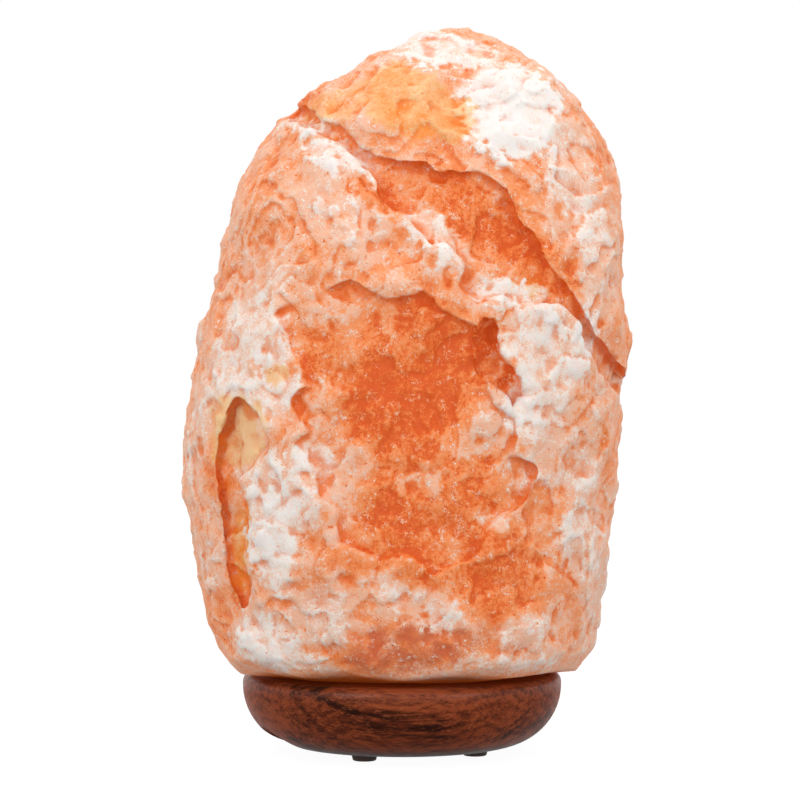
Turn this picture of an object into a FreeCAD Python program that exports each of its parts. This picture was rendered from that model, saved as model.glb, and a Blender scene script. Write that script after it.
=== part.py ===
"""Salt crystal lamp, in millimetres.

A hollowed block of rock salt stands on a turned wooden base. Two screws hold it there from below.
A small light unit fills the hole through the base: a lampholder on a pressed steel plate, with three
spring clips that grip the hole and a candle lamp that lights the hollow. The unit pulls out downwards.

Frame: origin under the middle of the base, on the surface that the lamp stands on. +Z is up, and the
side that is usually seen is -Y. Every width is measured from the base's axis.
"""
import FreeCAD, Part
import math
import os

from FreeCAD import Vector

# ---------------------------------------------------------------- driving sizes
# Feet and base
FOOT_HEIGHT = 2.5
FOOT_RADIUS = 4.5
FOOT_COUNT = 4
FOOT_CIRCLE_RADIUS = 28.0
FOOT_EDGE_ROUND = 0.7
FOOT_TAPER = 0.4
FOOT_PIN_RADIUS = 1.0
FOOT_PIN_HEAD_RADIUS = 1.9
FOOT_PIN_HEAD_HEIGHT = 0.6
FOOT_PIN_HEAD_DEPTH = 1.0
FOOT_PIN_LENGTH = 11.0
BASE_RADIUS = 55.0
BASE_THICKNESS = 25.0
BASE_LOWER_ROUND = 21.0
BASE_TOP_ROUND = 3.2
BASE_BORE_RADIUS = 18.0
RECESS_RADIUS = 22.0
RECESS_DEPTH = 15.0

# Cord groove: a low arch under the base, flared towards the rim
GROOVE_DIRECTION = 198.0
GROOVE_INNER_WIDTH = 11.0
GROOVE_INNER_HEIGHT = 5.4
GROOVE_MOUTH_WIDTH = 36.0
GROOVE_MOUTH_HEIGHT = 8.5
GROOVE_START_RADIUS = 15.0
GROOVE_OVERRUN = 2.0

# Base screws and the plugs that they bite in
SCREW_CIRCLE_RADIUS = 28.5
SCREW_SHANK_RADIUS = 2.0
SCREW_HEAD_RADIUS = 3.8
SCREW_HEAD_RIM = 0.5
SCREW_HEAD_CONE = 2.2
SCREW_HEAD_SUNK = 3.5
SCREW_RECESS_WIDTH = 1.0
SCREW_RECESS_LENGTH = 4.4
SCREW_RECESS_DEPTH = 1.4
SCREW_REACH = 22.0
SCREW_TIP_LENGTH = 4.0
PLUG_RADIUS = 3.5
PLUG_LENGTH = 25.0
PLUG_HOLE_SPARE = 1.0
PLUG_RIB_COUNT = 5
PLUG_RIB_DEPTH = 0.5

# Crystal: its outline at each height above the base's top, as the reach to the
# right, left, front and back of the base's axis
CRYSTAL_SECTIONS = (
    # height, right, left, front, back
    (0.0, 44.0, 44.0, 38.0, 40.0),
    (3.2, 61.0, 60.5, 57.0, 56.0),
    (10.0, 67.5, 66.5, 62.5, 62.0),
    (20.0, 70.0, 69.5, 65.0, 65.0),
    (36.0, 72.0, 73.0, 66.5, 66.5),
    (54.0, 73.5, 74.6, 67.5, 67.5),
    (72.0, 75.0, 76.0, 68.0, 68.0),
    (88.0, 76.6, 75.8, 68.0, 68.0),
    (104.0, 78.4, 73.6, 67.0, 67.5),
    (119.0, 79.4, 70.4, 66.0, 66.5),
    (134.0, 79.0, 66.0, 64.5, 65.0),
    (148.0, 78.4, 63.0, 61.5, 63.0),
    (161.0, 77.6, 61.0, 57.5, 60.0),
    (174.0, 76.0, 55.0, 52.0, 55.0),
    (186.0, 71.4, 47.0, 45.5, 49.0),
    (197.0, 63.5, 37.5, 37.0, 41.5),
    (207.0, 52.0, 20.5, 27.0, 32.0),
    (215.0, 38.0, 5.0, 16.5, 22.0),
    (221.0, 26.0, -5.0, 6.0, 11.0),
)
SECTION_POINTS = 22
SECTION_SQUARENESS = 2.4
LOBE_COUNT = 5
LOBE_DEPTH = 1.6
LOBE_TWIST_PER_MM = 0.021
ROUGH_ACROSS = 1.5
ROUGH_ALONG = 2.4
SKIN_SAMPLE_STEP = 6.0

# Flat breaks: which way each faces (degrees round from +X, degrees up) and how deep it goes
CRYSTAL_BREAKS = (
    (158.0, 52.0, 3.0),
    (20.0, 48.0, 3.5),
    (285.0, 58.0, 3.0),
    (75.0, 50.0, 4.0),
    (248.0, 24.0, 2.6),
    (310.0, 12.0, 2.4),
    (222.0, -6.0, 2.4),
    (345.0, -14.0, 2.2),
    (190.0, 14.0, 2.2),
    (120.0, 8.0, 3.2),
    (60.0, -8.0, 3.0),
    (92.0, -26.0, 3.2),
    (270.0, -30.0, 2.6),
    (32.0, 16.0, 2.6),
    (148.0, -18.0, 2.8),
)

# Shell-like scoops: direction round from +X, height above the base's top, how hollow, how deep
CRYSTAL_SCOOPS = (
    (192.0, 149.0, 28.0, 2.8),
    (236.0, 128.0, 48.0, 2.4),
    (284.0, 194.0, 34.0, 5.0),
    (322.0, 180.0, 60.0, 3.4),
    (336.0, 62.0, 50.0, 3.0),
    (90.0, 156.0, 55.0, 4.2),
    (124.0, 62.0, 55.0, 3.6),
    (28.0, 96.0, 42.0, 3.0),
)

# Scaled fractures, where the outer skin has come away: an outline in the front or
# back view (right of the axis, height above the ground) and how deep the skin was
UPPER_BAND_DEPTH = 4.4
UPPER_BAND = (
    (-44, 226), (-30, 219), (-19, 212), (-9, 203), (0, 201), (12, 198), (26, 197), (34, 191), (38, 180),
    (43, 176), (49, 165), (56, 159), (62, 147), (70, 138), (78, 126), (78, 114), (70, 126), (62, 138),
    (57, 149), (51, 154), (40, 153), (33, 157), (24, 154), (20, 160), (21, 168), (14, 174), (9, 173),
    (1, 184), (-7, 190), (-10, 200), (-22, 208), (-38, 217),
)
MIDDLE_FIELD_DEPTH = 3.0
MIDDLE_FIELD = (
    (-43, 151), (-40, 145), (-34, 135), (-31, 128), (-36, 124), (-31, 111), (-35, 108), (-27, 101),
    (-28, 91), (-22, 86), (-21, 76), (-8, 70), (2, 73), (10, 66), (24, 72), (30, 82), (40, 90), (44, 100),
    (36, 106), (37, 116), (30, 122), (27, 133), (22, 138), (24, 147), (14, 152), (6, 158), (-6, 156),
    (-16, 161), (-28, 158),
)
RIGHT_CLEFT_DEPTH = 6.0
RIGHT_CLEFT = (
    (26, 151), (31, 147), (33, 138), (37, 133), (40, 123), (35, 119), (31, 128), (25, 133), (23, 142),
)
LEFT_CLEFT_DEPTH = 5.0
LEFT_CLEFT = (
    (-55, 123), (-47, 118), (-44, 108), (-48, 99), (-52, 96), (-50, 86), (-52, 74), (-50, 62), (-54, 52),
    (-57, 62), (-60, 76), (-59, 88), (-62, 100), (-60, 112),
)
BACK_BAND_DEPTH = 4.0
BACK_BAND = (
    (-70, 178), (-54, 174), (-40, 165), (-33, 158), (-20, 154), (-8, 143), (4, 141), (14, 128), (26, 122),
    (36, 111), (50, 110), (60, 98), (72, 92), (72, 76), (58, 86), (46, 90), (38, 100), (22, 102), (12, 112),
    (4, 124), (-10, 126), (-22, 134), (-34, 146), (-48, 152), (-60, 162),
)
BACK_FIELD_DEPTH = 3.0
BACK_FIELD = (
    (-48, 114), (-38, 106), (-28, 108), (-18, 96), (-12, 92), (-16, 78), (-10, 66), (-14, 54), (-22, 50),
    (-26, 40), (-38, 38), (-50, 46), (-52, 58), (-59, 68), (-55, 82), (-58, 96),
)

# Hollow for the light
HOLLOW_RADIUS = 21.0
HOLLOW_DEPTH = 88.0

# Light unit
PLATE_RADIUS = 21.0
PLATE_THICKNESS = 1.0
PLATE_LIP_HEIGHT = 1.6
PLATE_CORNER_ROUND = 0.8
HOLDER_RADIUS = 10.4
HOLDER_HEIGHT = 27.5
HOLDER_RIM_ROUND = 1.2
HOLDER_FLUTE_COUNT = 16
HOLDER_FLUTE_RADIUS = 0.7
HOLDER_FLUTE_HEIGHT = 13.0
HOLDER_FLUTE_START = 2.0
HOLDER_FLOOR_HEIGHT = 7.0
HOLDER_FLOOR_THICKNESS = 3.0
SPIGOT_RADIUS = 9.4
SPIGOT_LENGTH = 3.6
WIRING_ROOM_RADIUS = 7.9
HOLDER_CAP_RADIUS = 11.4
HOLDER_CAP_HEIGHT = 4.6
HOLDER_CAP_WALL = 1.6
HOLDER_CAP_NOTCH_COUNT = 12
HOLDER_CAP_NOTCH_RADIUS = 1.0
HOLDER_CAP_EDGE = 0.8
GROMMET_BORE_RADIUS = 3.0
GROMMET_WALL = 1.1
GROMMET_FLANGE = 1.3
GROMMET_FLANGE_HEIGHT = 0.8
SHELL_INNER_RADIUS = 6.25
SHELL_WALL = 0.4
SHELL_HEIGHT = 14.5
SHELL_FLOOR_HOLE_RADIUS = 3.0
CONTACT_WIDTH = 3.4
CONTACT_THICKNESS = 0.4
CONTACT_RISE = 1.9
CONTACT_REACH = 1.2
TERMINAL_OFFSET = 5.6
TERMINAL_TAB_END = 7.4
TERMINAL_SCREW_RADIUS = 0.95
TERMINAL_SCREW_HEAD_RADIUS = 1.7
TERMINAL_SCREW_HEAD_HEIGHT = 1.4
TERMINAL_SCREW_REACH = 2.0
TERMINAL_SLOT_WIDTH = 0.5
TERMINAL_SLOT_DEPTH = 0.6
SHELL_STRIP_OFFSET = 0.5

# Spring clips
CLIP_COUNT = 3
CLIP_FIRST_DIRECTION = 90.0
CLIP_WIDTH = 6.0
CLIP_THICKNESS = 0.4
CLIP_FOOT_THICKNESS = 0.5
CLIP_FOOT_INNER_RADIUS = 11.4
CLIP_BEND_RADIUS = 15.0
CLIP_BEND_INSIDE = 1.0
CLIP_BELLY_HEIGHT = 7.0
CLIP_NECK_HEIGHT = 22.0
CLIP_NECK_RADIUS = 15.4
CLIP_TIP_HEIGHT = 26.0
CLIP_TIP_RADIUS = 16.4
RIVET_SHANK_RADIUS = 0.9
RIVET_HEAD_RADIUS = 1.4
RIVET_HEAD_TAPER = 0.4
RIVET_HEAD_HEIGHT = 0.7

# Candle lamp with a small screw cap
BULB_GLASS_RADIUS = 11.1
BULB_GLASS_WALL = 0.6
BULB_NECK_RADIUS = 5.3
BULB_LENGTH = 54.0
BULB_WIDEST_SHARE = 0.4
BULB_TIP_RADIUS = 3.6
BULB_TIP_TURN = 40.0
BULB_NECK_RISE = 1.0
BULB_NECK_DEPTH = 7.0
BULB_CAP_RADIUS = 5.85
BULB_CAP_WALL = 0.3
BULB_CAP_HEIGHT = 16.0
BULB_CAP_STEP = 1.0
BULB_CAP_SHOULDER = 1.2
BULB_INSULATOR_HEIGHT = 2.0
BULB_INSULATOR_RIM = 0.3
BULB_INSULATOR_PLUG = 1.0
BULB_CONTACT_RADIUS = 2.2
BULB_CONTACT_HEIGHT = 0.9
BULB_CONTACT_ROUND = 0.25
STEM_HEIGHT = 14.0
STEM_RADIUS = 1.7
STEM_WALL = 0.5
STEM_SET_IN = 0.2
STEM_FLARE_HEIGHT = 5.0
STEM_PINCH_LENGTH = 3.0
LEAD_RADIUS = 0.25
LEAD_HEIGHT = 12.0
LEAD_SPREAD = 4.0
LEAD_IN_STEM = 1.0
FILAMENT_RADIUS = 0.3
FILAMENT_SAG = 3.0

# Clearances, and how far a cutting tool runs past the piece that it cuts
RUNNING_GAP = 0.3
CLIP_BORE_GAP = 0.9
SEAT_GAP = 0.1
HOLE_GAP = 0.05
OVERCUT = 1.0

# ---------------------------------------------------------------- worked-out places
BASE_BOTTOM = FOOT_HEIGHT
BASE_TOP = BASE_BOTTOM + BASE_THICKNESS
RECESS_CEILING = BASE_BOTTOM + RECESS_DEPTH
PLATE_TOP = RECESS_CEILING
PLATE_BOTTOM = PLATE_TOP - PLATE_THICKNESS
RIVET_CIRCLE_RADIUS = HOLDER_CAP_RADIUS + RUNNING_GAP + RIVET_HEAD_RADIUS
HOLDER_TOP = PLATE_TOP + HOLDER_HEIGHT
SPIGOT_BOTTOM = PLATE_TOP - SPIGOT_LENGTH
CAP_TOP = PLATE_BOTTOM
CAP_BOTTOM = CAP_TOP - HOLDER_CAP_HEIGHT
FLOOR_BOTTOM = PLATE_TOP + HOLDER_FLOOR_HEIGHT
FLOOR_TOP = FLOOR_BOTTOM + HOLDER_FLOOR_THICKNESS
CONTACT_TOP = FLOOR_TOP + CONTACT_RISE
BULB_BOTTOM = CONTACT_TOP + RUNNING_GAP
BULB_CAP_BOTTOM = BULB_BOTTOM + BULB_CONTACT_HEIGHT + BULB_INSULATOR_HEIGHT - SEAT_GAP
BULB_CAP_TOP = BULB_BOTTOM + BULB_CAP_HEIGHT
BULB_TOP = BULB_BOTTOM + BULB_LENGTH
GLASS_BOTTOM = BULB_CAP_TOP - BULB_NECK_DEPTH
STEM_BOTTOM = GLASS_BOTTOM + STEM_SET_IN
STEM_TOP = STEM_BOTTOM + STEM_HEIGHT
SHELL_OUTER_RADIUS = SHELL_INNER_RADIUS + SHELL_WALL
CLIP_BEND_HEIGHT = PLATE_TOP + CLIP_FOOT_THICKNESS + CLIP_BEND_INSIDE
CLIP_DIRECTIONS = [CLIP_FIRST_DIRECTION + 360.0 * i / CLIP_COUNT for i in range(CLIP_COUNT)]
FOOT_DIRECTIONS = [GROOVE_DIRECTION + 360.0 * (i + 0.5) / FOOT_COUNT for i in range(FOOT_COUNT)]
SCREW_DIRECTIONS = (GROOVE_DIRECTION + 90.0, GROOVE_DIRECTION + 270.0)
UP = Vector(0, 0, 1)


# ---------------------------------------------------------------- drawing helpers
def on_circle(radius, degrees, height):
    """A point at that distance and direction from the vertical axis."""
    angle = math.radians(degrees)
    return Vector(radius * math.cos(angle), radius * math.sin(angle), height)


def turned(solid, degrees):
    """A copy turned about the vertical axis."""
    copy = solid.copy()
    copy.rotate(Vector(0, 0, 0), UP, degrees)
    return copy


def arc_point(centre, radius, degrees):
    """A point (across, up) on an arc, for the middle or end of a rounded corner."""
    angle = math.radians(degrees)
    return (centre[0] + radius * math.cos(angle), centre[1] + radius * math.sin(angle))


def outline(*steps):
    """A closed face in the XZ plane. A step is a point (x, z), or a pair of points for an arc through the first."""
    edges = []
    here = Vector(steps[0][0], 0, steps[0][1])
    first = here
    for step in steps[1:]:
        if isinstance(step[0], tuple):
            middle = Vector(step[0][0], 0, step[0][1])
            end = Vector(step[1][0], 0, step[1][1])
            edges.append(Part.Arc(here, middle, end).toShape())
        else:
            end = Vector(step[0], 0, step[1])
            edges.append(Part.LineSegment(here, end).toShape())
        here = end
    if here.distanceToPoint(first) > 1e-6:
        edges.append(Part.LineSegment(here, first).toShape())
    return Part.Face(Part.Wire(edges))


def revolved(*steps):
    """The solid that an outline (distance from the axis, height) sweeps round the vertical axis."""
    return outline(*steps).revolve(Vector(0, 0, 0), UP, 360)


def tube(outer, inner, bottom, top):
    """A plain upright tube."""
    return revolved((inner, bottom), (outer, bottom), (outer, top), (inner, top))


def rod(radius, start, end):
    """A straight round rod between two points."""
    along = end.sub(start)
    return Part.makeCylinder(radius, along.Length, start, along)


def upright(radius, bottom, top, at):
    """An upright round rod over a point."""
    return Part.makeCylinder(radius, top - bottom, Vector(at.x, at.y, bottom), UP)


def block(x0, x1, y0, y1, z0, z1):
    """A box between two corners."""
    return Part.makeBox(x1 - x0, y1 - y0, z1 - z0, Vector(x0, y0, z0))


def save(name, *solids):
    """Writes one named piece, or a group of like pieces, to its STEP file."""
    for solid in solids:
        if not solid.isValid() or solid.Volume <= 0:
            raise ValueError("the solid for " + name + " is not sound")
    shape = solids[0] if len(solids) == 1 else Part.makeCompound(list(solids))
    shape.exportStep(os.path.join("parts", name + ".step"))
    print(name, len(shape.Solids), "solid,", round(sum(s.Volume for s in shape.Solids) / 1000, 3), "cm3")


# ---------------------------------------------------------------- salt crystal
def roughness(ring, place):
    """A fixed scatter from -1 to 1 for each corner of the crystal."""
    scatter = math.sin(12.9898 * (ring + 1) + 78.233 * (place + 1)) * 43758.5453
    return 2 * (scatter - math.floor(scatter)) - 1


def section_point(row, inset, turn):
    """The point at a share of a turn round one section: a squarish oval with shallow lobes that climb."""
    height, right, left, front, back = row
    half_x = (right + left) / 2 - inset
    half_y = (front + back) / 2 - inset
    angle = 2 * math.pi * turn
    across = math.copysign(abs(math.cos(angle)) ** (2 / SECTION_SQUARENESS), math.cos(angle))
    along = math.copysign(abs(math.sin(angle)) ** (2 / SECTION_SQUARENESS), math.sin(angle))
    lobe = math.cos(LOBE_COUNT * angle + LOBE_TWIST_PER_MM * height)
    swell = 1 + min(LOBE_DEPTH, half_y / 8) * (lobe - 1) / 2 / half_x
    x = (right - left) / 2 + half_x * across * swell
    y = (back - front) / 2 + half_y * along * swell
    return Vector(x, y, BASE_TOP + height)


def rock_ring(number, inset):
    """The corners round one section, half a step on from the ring below, each a little in and up or down."""
    row = CRYSTAL_SECTIONS[number]
    ends = number in (0, len(CRYSTAL_SECTIONS) - 1)
    middle = Vector((row[1] - row[2]) / 2, (row[4] - row[3]) / 2, BASE_TOP + row[0])
    corners = []
    for k in range(SECTION_POINTS):
        corner = section_point(row, inset, (k + 0.5 * (number % 2)) / SECTION_POINTS)
        if not ends:
            inwards = middle.sub(corner).normalize() * ROUGH_ACROSS * (1 + roughness(number, k)) / 2
            corner = corner.add(inwards).add(UP * ROUGH_ALONG * roughness(k, number))
        corners.append(corner)
    return corners


def rock(inset):
    """The crystal's hewn body in flat facets, drawn in by inset all round and at the top."""
    rings = [rock_ring(number, inset) for number in range(len(CRYSTAL_SECTIONS))]
    rings[-1] = [corner.sub(UP * inset) for corner in rings[-1]]
    triangles = []
    for number, (low, high) in enumerate(zip(rings, rings[1:])):
        for k in range(SECTION_POINTS):
            after = (k + 1) % SECTION_POINTS
            if number % 2 == 0:
                triangles += [(low[k], low[after], high[k]), (high[k], low[after], high[after])]
            else:
                triangles += [(low[k], high[after], high[k]), (low[k], low[after], high[after])]
    faces = [Part.Face(Part.makePolygon(list(corners) + [corners[0]])) for corners in triangles]
    faces += [Part.Face(Part.makePolygon(ring + [ring[0]])) for ring in (rings[0], rings[-1])]
    shell = Part.makeShell(faces)
    shell.sewShape()
    body = Part.makeSolid(shell)
    if body.Volume < 0:
        body.reverse()
    return body


def flat_breaks(body):
    """The body with a flat face struck off it in each direction of CRYSTAL_BREAKS."""
    samples = [vertex.Point for vertex in body.Vertexes]
    reach = 4 * BASE_RADIUS
    for round_from_x, up, depth in CRYSTAL_BREAKS:
        flat = math.cos(math.radians(up))
        facing = Vector(
            flat * math.cos(math.radians(round_from_x)),
            flat * math.sin(math.radians(round_from_x)),
            math.sin(math.radians(up)),
        )
        furthest = max(samples, key=lambda p: p.dot(facing))
        waste = Part.makeCylinder(reach, reach, furthest.sub(facing * depth), facing)
        body = body.cut(waste)
    return body


def section_at(height):
    """The right, left, front and back reach of the crystal at a height above the base's top."""
    for below, above in zip(CRYSTAL_SECTIONS, CRYSTAL_SECTIONS[1:]):
        if height <= above[0]:
            break
    share = (height - below[0]) / (above[0] - below[0])
    return tuple(low + (high - low) * share for low, high in zip(below, above))


def surface_point(direction, height):
    """About where the crystal's skin is in a direction from the middle of its section."""
    row = section_at(height)
    middle = Vector((row[1] - row[2]) / 2, (row[4] - row[3]) / 2, BASE_TOP + height)
    heading = on_circle(1.0, direction, 0)
    ring = [section_point(row, 0.0, step / 360) for step in range(360)]
    return max(ring, key=lambda p: p.sub(middle).normalize().dot(heading))


def outward(direction, height):
    """A point on the crystal's skin and the outward normal there, from four points around it."""
    step = SKIN_SAMPLE_STEP
    along = surface_point(direction + 2 * step, height).sub(surface_point(direction - 2 * step, height))
    top = min(height + step, CRYSTAL_SECTIONS[-1][0])
    rise = surface_point(direction, top).sub(surface_point(direction, height - step))
    return surface_point(direction, height), along.cross(rise).normalize()


def scoops(body):
    """The body with the shell-like hollows of CRYSTAL_SCOOPS."""
    for direction, height, radius, depth in CRYSTAL_SCOOPS:
        here, normal = outward(direction, height)
        body = body.cut(Part.makeSphere(radius, here.add(normal * (radius - depth))))
    return body


def scaled_fracture(points, depth, faces_front):
    """What comes off where the outer skin has scaled away inside an outline seen from the front or back."""
    side = -1 if faces_front else 1
    corners = [Vector(x, 0, z) for x, z in points]
    face = Part.Face(Part.makePolygon(corners + [corners[0]]))
    prism = face.extrude(Vector(0, side * 3 * BASE_RADIUS, 0))
    return prism.cut(rock(depth))


def hollow():
    """The drilled hollow: a straight bore with a round end."""
    spring = BASE_TOP + HOLLOW_DEPTH - HOLLOW_RADIUS
    below = BASE_TOP - OVERCUT
    return revolved(
        (0, below),
        (HOLLOW_RADIUS, below),
        (HOLLOW_RADIUS, spring),
        (arc_point((0, spring), HOLLOW_RADIUS, 45), (0, spring + HOLLOW_RADIUS)),
    )


def salt_crystal():
    body = scoops(flat_breaks(rock(0.0)))
    fractures = (
        (UPPER_BAND, UPPER_BAND_DEPTH, True),
        (MIDDLE_FIELD, MIDDLE_FIELD_DEPTH, True),
        (RIGHT_CLEFT, RIGHT_CLEFT_DEPTH, True),
        (LEFT_CLEFT, LEFT_CLEFT_DEPTH, True),
        (BACK_BAND, BACK_BAND_DEPTH, False),
        (BACK_FIELD, BACK_FIELD_DEPTH, False),
    )
    for points, depth, faces_front in fractures:
        body = body.cut(scaled_fracture(points, depth, faces_front))
    body = body.cut(hollow())
    for direction in SCREW_DIRECTIONS:
        at = on_circle(SCREW_CIRCLE_RADIUS, direction, 0)
        body = body.cut(upright(PLUG_RADIUS, BASE_TOP - OVERCUT, BASE_TOP + PLUG_LENGTH + PLUG_HOLE_SPARE, at))
    return max(body.Solids, key=lambda s: s.Volume)


# ---------------------------------------------------------------- wooden base
def cord_groove():
    """The flared arch under the base that lets the cord out."""
    below = BASE_BOTTOM - OVERCUT
    stations = (
        (GROOVE_START_RADIUS, GROOVE_INNER_WIDTH, GROOVE_INNER_HEIGHT),
        (BASE_RADIUS + GROOVE_OVERRUN, GROOVE_MOUTH_WIDTH, GROOVE_MOUTH_HEIGHT),
    )
    wires = []
    for along, width, height in stations:
        left = Vector(along, -width / 2, below)
        right = Vector(along, width / 2, below)
        crown = Vector(along, 0, BASE_BOTTOM + height)
        arch = Part.Arc(right, crown, left).toShape()
        wires.append(Part.Wire([Part.LineSegment(left, right).toShape(), arch]))
    return turned(Part.makeLoft(wires, True, True), GROOVE_DIRECTION)


def wood_base():
    lower = (BASE_RADIUS - BASE_LOWER_ROUND, BASE_BOTTOM + BASE_LOWER_ROUND)
    upper = (BASE_RADIUS - BASE_TOP_ROUND, BASE_TOP - BASE_TOP_ROUND)
    base = revolved(
        (BASE_BORE_RADIUS, BASE_TOP),
        (BASE_BORE_RADIUS, RECESS_CEILING),
        (RECESS_RADIUS, RECESS_CEILING),
        (RECESS_RADIUS, BASE_BOTTOM),
        (lower[0], BASE_BOTTOM),
        (arc_point(lower, BASE_LOWER_ROUND, -45), (BASE_RADIUS, lower[1])),
        (BASE_RADIUS, upper[1]),
        (arc_point(upper, BASE_TOP_ROUND, 45), (upper[0], BASE_TOP)),
    )
    base = base.cut(cord_groove())
    seat = BASE_BOTTOM + SCREW_HEAD_SUNK
    for direction in SCREW_DIRECTIONS:
        screw_hole = revolved(
            (0, BASE_BOTTOM - OVERCUT),
            (SCREW_HEAD_RADIUS + RUNNING_GAP, BASE_BOTTOM - OVERCUT),
            (SCREW_HEAD_RADIUS + RUNNING_GAP, seat + SCREW_HEAD_RIM),
            (SCREW_SHANK_RADIUS + SEAT_GAP, seat + SCREW_HEAD_RIM + SCREW_HEAD_CONE),
            (SCREW_SHANK_RADIUS + SEAT_GAP, BASE_TOP + OVERCUT),
            (0, BASE_TOP + OVERCUT),
        )
        screw_hole.translate(on_circle(SCREW_CIRCLE_RADIUS, direction, 0))
        base = base.cut(screw_hole)
    pin_top = FOOT_PIN_HEAD_DEPTH + FOOT_PIN_LENGTH + SEAT_GAP
    for direction in FOOT_DIRECTIONS:
        at = on_circle(FOOT_CIRCLE_RADIUS, direction, 0)
        base = base.cut(upright(FOOT_PIN_RADIUS + HOLE_GAP, BASE_BOTTOM - OVERCUT, pin_top, at))
    return base


def rubber_foot(at):
    """A soft button foot with a sunk hole for its pin."""
    bevel = (FOOT_RADIUS - FOOT_TAPER - FOOT_EDGE_ROUND, FOOT_EDGE_ROUND)
    sunk = FOOT_PIN_HEAD_DEPTH
    foot = revolved(
        (FOOT_PIN_RADIUS + HOLE_GAP, FOOT_HEIGHT),
        (FOOT_PIN_RADIUS + HOLE_GAP, sunk),
        (FOOT_PIN_HEAD_RADIUS + SEAT_GAP, sunk),
        (FOOT_PIN_HEAD_RADIUS + SEAT_GAP, 0),
        (bevel[0], 0),
        (arc_point(bevel, FOOT_EDGE_ROUND, -45), (bevel[0] + FOOT_EDGE_ROUND, FOOT_EDGE_ROUND)),
        (FOOT_RADIUS, FOOT_HEIGHT),
    )
    foot.translate(at)
    return foot


def foot_pin(at):
    """A drive pin with a flat head, sunk in the foot so that the rubber touches first."""
    head_bottom = FOOT_PIN_HEAD_DEPTH - FOOT_PIN_HEAD_HEIGHT
    top = FOOT_PIN_HEAD_DEPTH + FOOT_PIN_LENGTH
    pin = revolved(
        (0, head_bottom),
        (FOOT_PIN_HEAD_RADIUS, head_bottom),
        (FOOT_PIN_HEAD_RADIUS, FOOT_PIN_HEAD_DEPTH),
        (FOOT_PIN_RADIUS, FOOT_PIN_HEAD_DEPTH),
        (FOOT_PIN_RADIUS, top - 2 * FOOT_PIN_RADIUS),
        (0, top),
    )
    pin.translate(at)
    return pin


def base_screw(at):
    """A countersunk wood screw, driven up from below, with a crossed slot."""
    seat = BASE_BOTTOM + SCREW_HEAD_SUNK
    tip = BASE_TOP + SCREW_REACH
    screw = revolved(
        (0, seat),
        (SCREW_HEAD_RADIUS, seat),
        (SCREW_HEAD_RADIUS, seat + SCREW_HEAD_RIM),
        (SCREW_SHANK_RADIUS, seat + SCREW_HEAD_RIM + SCREW_HEAD_CONE),
        (SCREW_SHANK_RADIUS, tip - SCREW_TIP_LENGTH),
        (0, tip),
    )
    half_width = SCREW_RECESS_WIDTH / 2
    half_length = SCREW_RECESS_LENGTH / 2
    deep = seat + SCREW_RECESS_DEPTH
    cross = block(-half_length, half_length, -half_width, half_width, seat - OVERCUT, deep)
    cross = cross.fuse(block(-half_width, half_width, -half_length, half_length, seat - OVERCUT, deep))
    screw = screw.cut(cross)
    screw.translate(at)
    return screw


def screw_plug(at):
    """A ribbed nylon plug in the crystal."""
    outer = PLUG_RADIUS - HOLE_GAP
    inner = SCREW_SHANK_RADIUS + HOLE_GAP
    bottom = BASE_TOP + SEAT_GAP
    pitch = PLUG_LENGTH / PLUG_RIB_COUNT
    steps = [(inner, bottom), (outer, bottom)]
    for i in range(PLUG_RIB_COUNT):
        rib = bottom + i * pitch
        steps.append((outer, rib + pitch / 2))
        steps.append((outer - PLUG_RIB_DEPTH, rib + pitch / 2))
        steps.append((outer, rib + pitch))
    steps.append((inner, bottom + PLUG_LENGTH))
    plug = revolved(*steps)
    plug.translate(at)
    return plug


# ---------------------------------------------------------------- light unit
def clip_plate():
    """The pressed disc that carries the lampholder and the clips, with a lip to grip."""
    corner = (PLATE_RADIUS - PLATE_CORNER_ROUND, PLATE_TOP - PLATE_CORNER_ROUND)
    lip_bottom = PLATE_BOTTOM - PLATE_LIP_HEIGHT
    plate = revolved(
        (SPIGOT_RADIUS + SEAT_GAP, PLATE_TOP),
        (SPIGOT_RADIUS + SEAT_GAP, PLATE_BOTTOM),
        (PLATE_RADIUS - PLATE_THICKNESS, PLATE_BOTTOM),
        (PLATE_RADIUS - PLATE_THICKNESS, lip_bottom),
        (PLATE_RADIUS, lip_bottom),
        (PLATE_RADIUS, corner[1]),
        (arc_point(corner, PLATE_CORNER_ROUND, 45), (corner[0], PLATE_TOP)),
    )
    for direction in CLIP_DIRECTIONS:
        at = on_circle(RIVET_CIRCLE_RADIUS, direction, 0)
        plate = plate.cut(upright(RIVET_SHANK_RADIUS + HOLE_GAP, PLATE_BOTTOM - OVERCUT, PLATE_TOP + OVERCUT, at))
    return plate


def clip_foot(direction):
    """The flat end of a clip, riveted to the plate."""
    half = CLIP_WIDTH / 2
    end = CLIP_BEND_RADIUS - HOLE_GAP
    foot = block(CLIP_FOOT_INNER_RADIUS, end, -half, half, PLATE_TOP, PLATE_TOP + CLIP_FOOT_THICKNESS)
    hole = upright(
        RIVET_SHANK_RADIUS + HOLE_GAP,
        PLATE_TOP - OVERCUT,
        PLATE_TOP + CLIP_FOOT_THICKNESS + OVERCUT,
        Vector(RIVET_CIRCLE_RADIUS, 0, 0),
    )
    return turned(foot.cut(hole), direction)


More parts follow.
